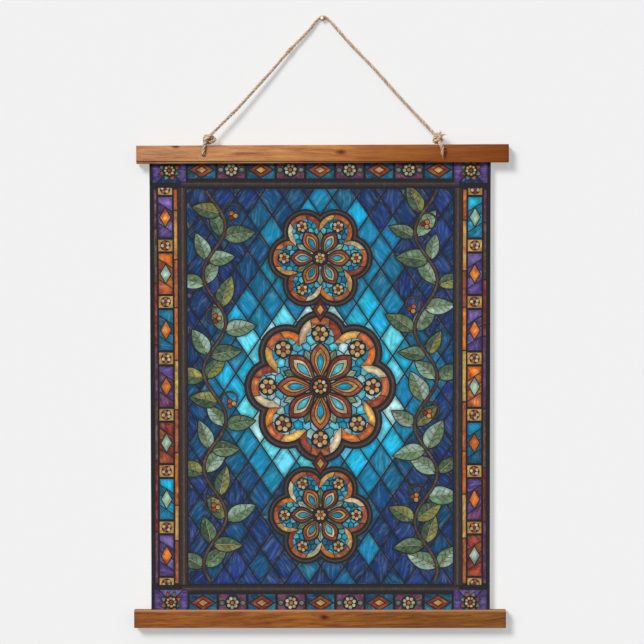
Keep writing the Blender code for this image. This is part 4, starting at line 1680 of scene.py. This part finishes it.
# Short cut ends that stick out of the right knot: x, y, z and thickness of both ends
TUFTS = (
    ((0.225, -0.0215, -0.2262, 0.75), (0.2284, -0.0222, -0.2206, 0.2)),
    ((0.2268, -0.0225, -0.228, 0.85), (0.2342, -0.0236, -0.2252, 0.2)),
    ((0.227, -0.0225, -0.2335, 0.8), (0.2342, -0.024, -0.2356, 0.18)),
)

# Loose strands beside the tail: x, y, z and thickness of both ends
WISPS = (
    ((0.2292, -0.0338, -0.2472, 0.26), (0.2368, -0.0346, -0.2446, 0.07)),
    ((0.23, -0.0342, -0.2506, 0.24), (0.2388, -0.035, -0.25, 0.06)),
    ((0.2304, -0.0346, -0.254, 0.24), (0.2374, -0.0352, -0.2572, 0.06)),
    ((0.231, -0.0348, -0.2584, 0.22), (0.2344, -0.0348, -0.265, 0.06)),
    ((0.2302, -0.0346, -0.256, 0.22), (0.2274, -0.0348, -0.2638, 0.06)),
)

# Turns of twine laid across the front of each knot: offsets in x and z, with y between
LEFT_WRAP = (
    (-0.0088, -0.0215, -0.005, 1.0), (-0.0072, -0.0262, -0.0018, 1.1), (-0.003, -0.0287, 0.0026, 1.15),
    (0.0018, -0.028, 0.0056, 1.1), (0.005, -0.023, 0.0068, 1.0),
)
RIGHT_WRAP = (
    (-0.0072, -0.0205, -0.007, 1.0), (-0.005, -0.026, -0.0054, 1.1), (0.0, -0.0284, -0.0022, 1.15),
    (0.0042, -0.0262, 0.001, 1.1), (0.006, -0.021, 0.003, 1.0),
)


def smooth_route(points: Sequence[Sequence[float]], samples: int = 24) -> np.ndarray:
    """Run a Catmull-Rom curve through the points, each a row of numbers."""
    points = np.array(points, dtype=float)
    before = 2 * points[0] - points[1]
    after = 2 * points[-1] - points[-2]
    padded = np.vstack([before, points, after])
    rows = []
    for start in range(len(points) - 1):
        a, b, c, d = padded[start:start + 4]
        for share in np.linspace(0.0, 1.0, samples, endpoint=False):
            rows.append(0.5 * (2 * b + (c - a) * share
                               + (2 * a - 5 * b + 4 * c - d) * share ** 2
                               + (3 * b - a - 3 * c + d) * share ** 3))
    rows.append(points[-1])
    return np.array(rows)


def even_steps(path: np.ndarray, step: float) -> np.ndarray:
    """Space a path's rows evenly, about a step apart."""
    runs = np.linalg.norm(np.diff(path[:, :3], axis=0), axis=1)
    reach = np.concatenate([[0.0], np.cumsum(runs)])
    count = max(2, round(reach[-1] / step) + 1)
    marks = np.linspace(0.0, reach[-1], count)
    return np.stack([np.interp(marks, reach, column) for column in path.T], axis=1)


def path_length(path: np.ndarray) -> float:
    """Return an open path's length."""
    return float(np.linalg.norm(np.diff(path[:, :3], axis=0), axis=1).sum())


class GrowthTree(Tree):
    """Builds a Geometry Nodes tree in few words."""

    def __init__(self, name: str) -> None:
        """Start an empty tree with geometry in and out."""
        super().__init__(bpy.data.node_groups.new(name, "GeometryNodeTree"))
        self.source = self.tree.nodes.new("NodeGroupInput")
        self.sink = self.tree.nodes.new("NodeGroupOutput")
        self.size("Path", "Geometry")
        self.tree.interface.new_socket(name="Geometry", in_out="OUTPUT",
                                       socket_type="NodeSocketGeometry")

    def size(self, name: str, kind: str = "Float") -> Value:
        """Add a named input and return it."""
        self.tree.interface.new_socket(name=name, in_out="INPUT",
                                       socket_type="NodeSocket" + kind)
        return Value(self, self.source.outputs[name])

    def sizes(self, *names: str) -> list[Value]:
        """Add several named numbers as inputs."""
        return [self.size(name) for name in names]

    def vector(self, operation: str, *values: Feed) -> Value:
        """Work out one vector from others."""
        return self.value("ShaderNodeVectorMath", dict(enumerate(values)), operation=operation)

    def scaled(self, vector: Feed, scale: Feed) -> Value:
        """Multiply a vector by a number."""
        return self.value("ShaderNodeVectorMath", {0: vector, "Scale": scale}, operation="SCALE")

    def turn(self, angle: Value) -> tuple[Value, Value]:
        """Return an angle's cosine and sine."""
        return self.math("COSINE", angle), self.math("SINE", angle)

    def position(self) -> Value:
        """Return each point's place."""
        return self.value("GeometryNodeInputPosition")

    def along(self, output: str) -> Value:
        """Return how far along its curve a point is, as a Factor or a Length."""
        return self.value("GeometryNodeSplineParameter", output=output)

    def chance(self, kind: str, low: Feed, high: Feed, seed: Feed) -> Value:
        """Return random numbers or vectors."""
        return self.value("FunctionNodeRandomValue", {"Min": low, "Max": high, "Seed": seed},
                          data_type=kind)

    def tube(self, curve: Feed, profile: Feed, scale: Feed) -> Value:
        """Sweep a profile along a curve and close its ends."""
        return self.value("GeometryNodeCurveToMesh", {"Curve": curve, "Profile Curve": profile,
                                                      "Scale": scale, "Fill Caps": True})

    def ring(self, resolution: Feed, radius: Feed) -> Value:
        """Return a circle."""
        return self.value("GeometryNodeCurvePrimitiveCircle",
                          {"Resolution": resolution, "Radius": radius}, mode="RADIUS")

    def moved(self, geometry: Feed, offset: Feed) -> Value:
        """Move points by an offset."""
        return self.value("GeometryNodeSetPosition", {"Geometry": geometry, "Offset": offset})

    def read(self, name: str, kind: str = "FLOAT") -> Value:
        """Read a named attribute."""
        return self.value("GeometryNodeInputNamedAttribute", {"Name": name}, data_type=kind)

    def store(self, geometry: Feed, name: str, value: Feed, kind: str = "FLOAT") -> Value:
        """Store a named attribute on the points."""
        return self.value("GeometryNodeStoreNamedAttribute",
                          {"Geometry": geometry, "Name": name, "Value": value},
                          data_type=kind, domain="POINT")

    def finish(self, geometry: Feed, material: Feed) -> bpy.types.NodeTree:
        """End the tree: realize, set the material and go out."""
        real = self.value("GeometryNodeRealizeInstances", {"Geometry": geometry})
        self.feed(self.sink.inputs[0], self.value("GeometryNodeSetMaterial",
                                                  {"Geometry": real, "Material": material}))
        return self.tree


def ply_tree() -> bpy.types.NodeTree:
    """Build the tree that lays three twisted plies round a path."""
    t = GrowthTree("three_ply_twine")
    pitch, ply_radius, ply_offset, twist = t.sizes("Pitch", "Ply Radius", "Ply Offset",
                                                   "Fibre Twist")
    sides, finish = t.size("Sides", "Int"), t.size("Finish", "Material")
    line = t.value("GeometryNodeMeshToCurve", {"Mesh": t.source.outputs["Path"]})
    thickness = t.read("thickness")
    length = t.along("Length")
    ahead = t.value("GeometryNodeInputTangent")
    out = t.value("GeometryNodeInputNormal")
    side = t.vector("CROSS_PRODUCT", ahead, out)
    profile = t.store(t.ring(sides, ply_radius), "around", t.along("Factor") * (2 * math.pi))
    joined = t.node("GeometryNodeJoinGeometry")
    for ply in range(3):
        turns = length / pitch * (2 * math.pi) + 2 * math.pi * ply / 3
        reach = ply_offset * thickness
        offset = t.vector("ADD", *(t.scaled(way, share * reach)
                                   for way, share in zip((out, side), t.turn(turns))))
        carried = t.store(line, "along", length)
        carried = t.store(carried, "heading", ahead, "FLOAT_VECTOR")
        carried = t.store(carried, "centre", t.position(), "FLOAT_VECTOR")
        lumps = t.value("ShaderNodeTexNoise", {"Vector": t.position(), "Scale": 240.0, "Detail": 1.0})
        tube = t.tube(t.moved(carried, offset), profile, thickness * (lumps * 0.34 + 0.84))
        t.feed(joined.inputs[0], t.store(tube, "ply", ply / 2))
    along = t.read("along")
    away = t.vector("SUBTRACT", t.position(), t.read("centre", "FLOAT_VECTOR"))
    full = (ply_offset + ply_radius) * t.read("thickness")
    depth = t.vector("LENGTH", away) / t.math("MAXIMUM", full, 0.0001)
    fibre = t.combine(*t.turn(t.read("around") + along * twist), along * 55.0)
    marked = t.store(joined.outputs[0], "fibre", fibre, "FLOAT_VECTOR")
    marked = t.store(marked, "depth", depth)
    return t.finish(t.value("GeometryNodeSetShadeSmooth", {"Geometry": marked}), finish)


def fuzz_tree() -> bpy.types.NodeTree:
    """Build the tree that stands loose fibres on a twine's surface."""
    t = GrowthTree("loose_fibres")
    density, longest, radius, out, along, stray = t.sizes(
        "Density", "Longest", "Fibre Radius", "Out", "Along", "Stray")
    seed, finish = t.size("Seed", "Int"), t.size("Finish", "Material")
    scattered = t.node("GeometryNodeDistributePointsOnFaces",
                       {"Mesh": t.source.outputs["Path"], "Density": density, "Seed": seed},
                       distribute_method="RANDOM")
    shake = t.chance("FLOAT_VECTOR", (-1.0, -1.0, -1.0), (1.0, 1.0, 1.0), seed)
    heading = t.vector("ADD", t.scaled(scattered.outputs["Normal"], out),
                       t.scaled(t.read("heading", "FLOAT_VECTOR"), along))
    heading = t.vector("ADD", heading, t.scaled(shake, stray))
    turned = t.value("FunctionNodeAlignRotationToVector", {"Vector": heading}, axis="Z")
    spin = t.value("FunctionNodeAxisAngleToRotation",
                   {"Axis": (0.0, 0.0, 1.0), "Angle": t.chance("FLOAT", 0.0, 6.28, 5)})
    rotation = t.value("FunctionNodeRotateRotation", {0: turned, 1: spin}, rotation_space="LOCAL")
    hair = t.value("GeometryNodeCurvePrimitiveLine", {"Start": (0.0, 0.0, 0.0),
                                                      "End": (0.0, 0.0, 1.0)})
    hair = t.value("GeometryNodeSubdivideCurve", {"Curve": hair, "Cuts": 3})
    factor = t.along("Factor")
    bend = t.math("POWER", factor, 2.0) * 0.42
    hair = t.moved(hair, t.combine(bend, t.math("SINE", factor * 5.0) * 0.07, 0.0))
    hair = t.tube(hair, t.ring(3, radius / longest), 1.0 - factor * 0.75)
    stood = t.value("GeometryNodeInstanceOnPoints",
                    {"Points": scattered.outputs["Points"], "Instance": hair, "Rotation": rotation,
                     "Scale": t.chance("FLOAT", 0.30, 1.0, 9) * longest})
    return t.finish(stood, finish)


def set_input(modifier: bpy.types.Modifier, name: str,
              value: float | bpy.types.Material) -> None:
    """Set a Geometry Nodes modifier's input by its socket's identifier."""
    for item in modifier.node_group.interface.items_tree:
        if item.item_type == "SOCKET" and item.in_out == "INPUT" and item.name == name:
            modifier[item.identifier] = value
            return
    raise KeyError(name)


def grow(name: str, mesh: bpy.types.Mesh, tree: bpy.types.NodeTree, inputs: dict) -> bpy.types.Object:
    """Run a tree on a mesh and keep the result as a plain object.

    Args:
        name: The new object's name.
        mesh: What the tree starts from.
        tree: The tree.
        inputs: Its inputs by name.

    Returns:
        A plain mesh object at the origin.
    """
    item = put(name, mesh)
    modifier = item.modifiers.new("growth", "NODES")
    modifier.node_group = tree
    for key, value in inputs.items():
        set_input(modifier, key, value)
    return baked(item)


def path_mesh(name: str, paths: Sequence[tuple[np.ndarray, bool]]) -> bpy.types.Mesh:
    """Make a mesh of lines, each open or closed, with a thickness at each point."""
    points: list = []
    edges: list[tuple[int, int]] = []
    thickness: list[float] = []
    for rows, closed in paths:
        start = len(points)
        points.extend(rows[:, :3].tolist())
        thickness.extend(rows[:, 3].tolist())
        edges.extend((index, index + 1) for index in range(start, len(points) - 1))
        if closed:
            edges.append((len(points) - 1, start))
    mesh = bpy.data.meshes.new(name)
    mesh.from_pydata(points, edges, [])
    attribute = mesh.attributes.new("thickness", "FLOAT", "POINT")
    attribute.data.foreach_set("value", thickness)
    return mesh


@dataclass(frozen=True)
class Knot:
    """A knot: a trefoil wound of the twine, with its loop through the bar's hole.

    Attributes:
        node: The solid that it stands for.
        x: Its centre.
        z: Its centre.
        wide: How far the figure is stretched in x.
        tall: How far it is stretched in z.
        turn: The figure's turn.
        hole_x: Where its loop goes through the bar.
        wrap: A turn of twine across its front, about its centre.
        tail: Whether a frayed end hangs down the front.
        loop_share: How thick its loop is against the other parts.
        ring: The middle radius of the winding.
        wave: How far the winding waves in and out.
        depth: How far it waves to the front and back.
        thickness: How thick the twine is in it against its usual thickness.
    """

    node: str
    x: float
    z: float
    wide: float
    tall: float
    turn: float
    hole_x: float
    wrap: tuple[tuple[float, ...], ...]
    tail: bool = False
    loop_share: float = 1.0
    ring: float = 0.0057
    wave: float = 0.0028
    depth: float = 0.0029
    thickness: float = 1.2

    def winding(self, steps: int) -> np.ndarray:
        """Return the closed line that the knot is wound on."""
        turns = 2 * math.pi * np.arange(steps) / steps
        reach = self.ring + self.wave * np.cos(3 * turns)
        angles = 2 * turns + self.turn
        return np.stack([self.x + self.wide * reach * np.cos(angles),
                         KNOT_Y + self.depth * np.sin(3 * turns),
                         self.z + self.tall * reach * np.sin(angles),
                         np.full(steps, self.thickness)], axis=1)

    def loop(self, step: float) -> np.ndarray:
        """Return the loop's line through the bar."""
        rows = [(self.x + share * (self.hole_x - self.x), y, z, thickness * self.loop_share)
                for share, y, z, thickness in LOOP_ROUTE]
        return even_steps(smooth_route(rows), step)

    def strands(self, step: float) -> list[np.ndarray]:
        """Return every open line of the knot: its loop, wrap, tail, short ends and wisps."""
        wrap = [(self.x + x, y, self.z + z, thickness) for x, y, z, thickness in self.wrap]
        lines = [self.loop(step), even_steps(smooth_route(wrap), step)]
        if self.tail:
            lines.append(even_steps(smooth_route(TAIL_ROUTE), step))
            lines.extend(even_steps(np.array(ends), step / 2) for ends in (*TUFTS, *WISPS))
        return lines

    def lead_in(self, end: np.ndarray, before: np.ndarray) -> np.ndarray:
        """Return the points that carry the twine's line on into the knot."""
        away = (end - before)[:3]
        away = away / np.linalg.norm(away)
        step = TWINE_PITCH / 9
        return np.array(((*(end[:3] + away * step), 1.0),
                         (*(end[:3] + away * 2.2 * step), 1.05),
                         (self.x, KNOT_Y, self.z, 1.1)))


@dataclass
class Yarn:
    """What the twine is made with: its two trees and its two finishes.

    Attributes:
        ply_radius: A ply's radius.
        ply_offset: How far each ply's middle is from the twine's.
        sides: The sides of each ply.
        fibre_twist: The turns of a ply's fibres, in radians a metre.
    """

    ply_radius: float = 0.00142
    ply_offset: float = 0.00148
    sides: int = 9
    fibre_twist: float = -620.0

    def __post_init__(self) -> None:
        """Build the trees and the finishes."""
        self.plies, self.fuzz = ply_tree(), fuzz_tree()
        self.jute = JuteFinish("raw_jute").material()
        self.loose = FuzzFinish("jute_fibres").material()

    def twisted(self, name: str, mesh: bpy.types.Mesh,
                pitch: float = TWINE_PITCH) -> bpy.types.Object:
        """Twist three plies along a mesh of lines."""
        return grow(name, mesh, self.plies,
                    {"Pitch": pitch, "Ply Radius": self.ply_radius, "Ply Offset": self.ply_offset,
                     "Fibre Twist": self.fibre_twist, "Sides": self.sides, "Finish": self.jute})

    def haired(self, name: str, piece: bpy.types.Object, density: float, longest: float,
               seed: int, out: float = 0.55, along: float = 0.75, stray: float = 0.55,
               radius: float = 0.00006) -> bpy.types.Object:
        """Grow loose fibres on a copy of a piece.

        Args:
            name: The fibres' name.
            piece: The piece that they grow on.
            density: How many there are on a square metre.
            longest: The longest one's length.
            seed: Their own draw.
            out: How far they stand out.
            along: How far they lie along the twine.
            stray: How far they stray from that.
            radius: Their radius.

        Returns:
            The fibres alone.
        """
        return grow(name, piece.data.copy(), self.fuzz,
                    {"Density": density, "Longest": longest, "Fibre Radius": radius, "Out": out,
                     "Along": along, "Stray": stray, "Seed": seed, "Finish": self.loose})


@dataclass
class TwineWork:
    """The hanging twine, its two knots and all their loose fibres.

    Attributes:
        step: The spacing of the points along a line.
        knots: The left knot and the right one.
    """

    step: float = 0.0013
    knots: tuple[Knot, Knot] = (
        Knot("tie_left", -0.2195, -0.2342, 1.30, 0.88, 0.0, -HOLE_X, LEFT_WRAP),
        Knot("tie_right", 0.2228, -0.2328, 0.86, 1.07, math.radians(-30), HOLE_X, RIGHT_WRAP,
             tail=True, loop_share=0.62),
    )

    def hanging_line(self) -> np.ndarray:
        """Return the twine's whole line, from inside one knot to inside the other."""
        half_span = abs(TWINE_ROUTE[0][0])
        rows = []
        for x, z in TWINE_ROUTE:
            share = min(1.0, abs(x) / half_span)
            rows.append((x, NAIL_TWINE_Y + share * (KNOT_Y - NAIL_TWINE_Y), z, 1.0))
        path = smooth_route(rows)
        for middle, half_length, extra in SLUBS:
            path[:, 3] += extra * np.exp(-((path[:, 0] - middle) / half_length) ** 2)
        left, right = self.knots
        before = left.lead_in(path[0], path[6])[::-1]
        after = right.lead_in(path[-1], path[-7])
        start = smooth_route(np.vstack([before, path[:2]]))[:-25]
        end = smooth_route(np.vstack([path[-2:], after]))[25:]
        return even_steps(np.vstack([start, path, end]), self.step)

    def build_twine(self, yarn: Yarn) -> tuple[bpy.types.Object, bpy.types.Object, np.ndarray]:
        """Make the hanging twine and its fuzz, and return them with the twine's line."""
        line = self.hanging_line()
        twine = yarn.twisted("hanging_twine", path_mesh("hanging_twine", [(line, False)]))
        hair = yarn.haired("hanging_twine_fuzz", twine, 105000.0, 0.0052, 3)
        return twine, hair, line

    def build_knot(self, yarn: Yarn, knot: Knot) -> list[bpy.types.Object]:
        """Make one knot with its loop, tail and fuzz."""
        winding = knot.winding(84)
        around = path_length(np.vstack([winding, winding[:1]]))
        pitch = around / round(around / TWINE_PITCH)
        closed = yarn.twisted(knot.node + "_jute", path_mesh("winding", [(winding, True)]), pitch)
        paths = [(line, False) for line in knot.strands(self.step)]
        piece = joined_pieces(closed, yarn.twisted("strands", path_mesh("strands", paths)))
        hair = yarn.haired(knot.node + "_fuzz", piece, 90000.0, 0.0050, 7, out=0.8, stray=0.8)
        return [piece, hair, self.fray(yarn)] if knot.tail else [piece, hair]

    def fray(self, yarn: Yarn) -> bpy.types.Object:
        """Fray the tail's end and the short ends beside the knot."""
        tail = even_steps(smooth_route(TAIL_ROUTE), self.step)[-8:]
        brush = yarn.twisted("brush", path_mesh("brush", [(tail, False)]))
        item = yarn.haired("tie_right_fray", brush, 260000.0, 0.0060, 11, 0.10, 1.30, 0.26, 0.00009)
        bpy.data.objects.remove(brush, do_unlink=True)
        lines = [(even_steps(np.array(tuft), self.step / 2), False) for tuft in TUFTS]
        stubs = yarn.twisted("stubs", path_mesh("stubs", lines))
        ends = yarn.haired("ends", stubs, 1500000.0, 0.0072, 13, 0.35, 1.4, 0.40, 0.00011)
        bpy.data.objects.remove(stubs, do_unlink=True)
        return joined_pieces(item, ends)

    def dress(self) -> list[bpy.types.Object]:
        yarn = Yarn()
        twine, hair, line = self.build_twine(yarn)
        pieces = [twine, hair]
        for knot in self.knots:
            made = self.build_knot(yarn, knot)
            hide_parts(knot.node)
            pieces.extend(made)
        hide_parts("twine")
        for piece in pieces:
            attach(piece, BODY)
            report(piece)
        return pieces


def joined_pieces(first: bpy.types.Object, *others: bpy.types.Object) -> bpy.types.Object:
    """Join plain objects into the first one's mesh, keeping its name."""
    bpy.ops.object.select_all(action="DESELECT")
    for item in (first, *others):
        item.select_set(True)
    bpy.context.view_layer.objects.active = first
    bpy.ops.object.join()
    return first


@dataclass
class BrassNail:
    """The turned brass nail that the twine hangs on.

    Attributes:
        shank_radius: The shank's radius.
        head_radius: The head's radius.
        head_front: How far the head's middle is from the wall.
        head_back: How far the head's back is from the wall.
        in_wall: How deep the nail goes into the wall.
        point: How long its point is.
        sides: The sides of its round.
    """

    shank_radius: float = 0.001
    head_radius: float = 0.0046
    head_front: float = 0.0097
    head_back: float = 0.0073
    in_wall: float = 0.021
    point: float = 0.003
    sides: int = 48

    def profile(self) -> list[Point]:
        """Return radius and height, from the head's middle to the point."""
        dome = self.head_front - self.head_back
        rows = []
        for step in range(13):
            angle = math.pi / 2 * step / 12
            rows.append((self.head_radius * math.sin(angle),
                         self.head_front - dome * 0.85 * (1 - math.cos(angle))))
        rows.append((self.head_radius * 0.985, self.head_back + 0.00012))
        rows.append((self.head_radius * 0.94, self.head_back))
        rows.append((self.shank_radius * 1.25, self.head_back - 0.00015))
        rows.append((self.shank_radius, self.head_back - 0.0006))
        for groove in range(3):
            place = self.head_back - 0.0012 - 0.0007 * groove
            rows.append((self.shank_radius, place))
            rows.append((self.shank_radius * 0.9, place - 0.00012))
            rows.append((self.shank_radius, place - 0.00024))
        rows.append((self.shank_radius, self.point - self.in_wall))
        rows.append((self.shank_radius * 0.45, 0.35 * self.point - self.in_wall))
        rows.append((0.0, -self.in_wall))
        return rows

    def build(self) -> bpy.types.Object:
        """Turn the nail with its head to the front."""
        work = bmesh.new()
        line = [work.verts.new((radius, -height, 0.0)) for radius, height in self.profile()]
        edges = [work.edges.new(pair) for pair in zip(line, line[1:])]
        bmesh.ops.spin(work, geom=[*line, *edges], cent=(0, 0, 0), axis=(0, 1, 0),
                       angle=2 * math.pi, steps=self.sides)
        bmesh.ops.remove_doubles(work, verts=work.verts, dist=0.000005)
        bmesh.ops.recalc_face_normals(work, faces=work.faces)
        mesh = written("brass_nail", work)
        mesh.materials.append(BrassFinish("brass").material())
        mesh.shade_smooth()
        mesh.set_sharp_from_angle(angle=math.radians(50))
        return put("brass_nail", mesh)

    def dress(self) -> bpy.types.Object:
        nail = self.build()
        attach(nail, BODY)
        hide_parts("nail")
        report(nail)
        return nail


@dataclass
class Studio:
    """The camera, the pale wall and floor, and the light.

    Attributes:
        distance: From the camera to the middle of the picture.
        picture_width: How much the picture shows at the wall hanging.
        middle_x: The picture's middle, from left to right.
        middle_z: The height at the picture's middle.
        look_down: How far the camera looks down, in radians.
        floor_z: The floor's height.
        floor_half: Half the floor's width and depth.
        wall_half: Half the wall's width.
        wall_top: The height of the wall's top.
        key_strength: The main light's strength.
        key_angle: How wide the main light looks, in radians.
        ambient: The strength of the light from all round above the horizon.
        from_below: The strength of the light from underneath.
    """

    distance: float = 6.0
    picture_width: float = 1.2462
    middle_x: float = -0.00103
    middle_z: float = -0.5873
    look_down: float = math.radians(1.0)
    floor_z: float = -2.2
    floor_half: float = 4.0
    wall_half: float = 2.6
    wall_top: float = 1.6
    key_strength: float = 2.80
    key_angle: float = math.radians(20)
    ambient: float = 0.47
    from_below: float = 0.16

    def camera(self) -> None:
        """Set up the camera at the photograph's angle."""
        data = bpy.data.cameras.new("camera")
        data.sensor_width = 36.0
        data.lens = 36.0 * self.distance / self.picture_width
        data.clip_end = 50.0
        item = put("camera", data)
        middle = Vector((self.middle_x, AIM_Y, self.middle_z))
        back = Vector((0.0, -math.cos(self.look_down), math.sin(self.look_down)))
        item.location = middle + back * self.distance
        item.rotation_euler = (-back).to_track_quat("-Z", "Y").to_euler()
        bpy.context.scene.camera = item

    def plane(self, name: str, corners: Sequence[Sequence[float]],
              material: bpy.types.Material) -> bpy.types.Object:
        """Make one flat stage piece."""
        mesh = bpy.data.meshes.new(name)
        mesh.from_pydata([tuple(corner) for corner in corners], [], [(0, 1, 2, 3)])
        mesh.materials.append(material)
        item = put(name, mesh)
        return item

    def stage(self) -> None:
        """Put up the wall, which is open from behind, and the floor."""
        paint = PaintFinish("wall_paint", (0.55, 0.55, 0.55), 0.325).material(True)
        side, low, high = self.wall_half, self.floor_z, self.wall_top
        wall = self.plane("wall", ((-side, 0, low), (side, 0, low), (side, 0, high),
                                   (-side, 0, high)), paint)
        wall.visible_shadow = False
        wall.visible_diffuse = False
        wall.visible_glossy = False
        pale = PaintFinish("floor_paint", linear(232, 231, 229)).material()
        side = self.floor_half
        floor = self.plane("floor", ((-side, -side, low), (side, -side, low), (side, side, low),
                                     (-side, side, low)), pale)
        floor.visible_diffuse = False

    def aim(self, data: bpy.types.Light, place: Sequence[float]) -> None:
        """Put a light at a place, facing the middle of the wall hanging."""
        item = put(data.name, data)
        item.location = place
        way = Vector((0.0, AIM_Y, self.middle_z)) - Vector(place)
        item.rotation_euler = way.to_track_quat("-Z", "Y").to_euler()

    def key(self) -> None:
        """Light from the upper left front, as wide as a studio softbox looks from the wall."""
        data = bpy.data.lights.new("key", "SUN")
        data.energy = self.key_strength
        data.angle = self.key_angle
        way = Vector((-0.461, -0.720, 0.519))
        self.aim(data, Vector((0.0, AIM_Y, self.middle_z)) + way * 4.0)

    def behind(self, name: str, place: Sequence[float], power: float) -> None:
        """Hang a large soft light behind the wall, for views from there."""
        data = bpy.data.lights.new(name, "AREA")
        data.size = 1.6
        data.energy = power
        self.aim(data, place)

    def lights(self) -> None:
        """Light the front, the back and all round."""
        self.key()
        self.behind("behind_left", (-2.2, 2.6, 0.9), 40.0)
        self.behind("behind_right", (2.4, 2.4, 0.2), 30.0)
        bpy.context.scene.world = self.surroundings()
        bpy.context.scene.view_settings.view_transform = "Standard"

    def surroundings(self) -> bpy.types.World:
        """Make the light from all round, which is weak from underneath."""
        world = bpy.data.worlds.new("soft_light")
        world.use_nodes = True
        tree = world.node_tree
        way = tree.nodes.new("ShaderNodeTexCoord")
        parts = tree.nodes.new("ShaderNodeSeparateXYZ")
        rise = tree.nodes.new("ShaderNodeMapRange")
        for name, value in (("From Min", -0.65), ("From Max", 0.06),
                            ("To Min", self.from_below), ("To Max", self.ambient)):
            rise.inputs[name].default_value = value
        ground = tree.nodes["Background"]
        ground.inputs["Color"].default_value = (1.0, 1.0, 1.0, 1.0)
        tree.links.new(way.outputs["Generated"], parts.inputs[0])
        tree.links.new(parts.outputs["Z"], rise.inputs["Value"])
        tree.links.new(rise.outputs[0], ground.inputs["Strength"])
        return world


def main() -> None:
    """Build the scene and report each piece."""
    logging.basicConfig(level=logging.INFO, format="%(message)s")
    studio = Studio()
    studio.camera()
    TwineWork().dress()
    studio.stage()
    studio.lights()
    HangerBars().dress()
    PrintedCloth().dress()
    BrassNail().dress()


if __name__ == "__main__":
    main()
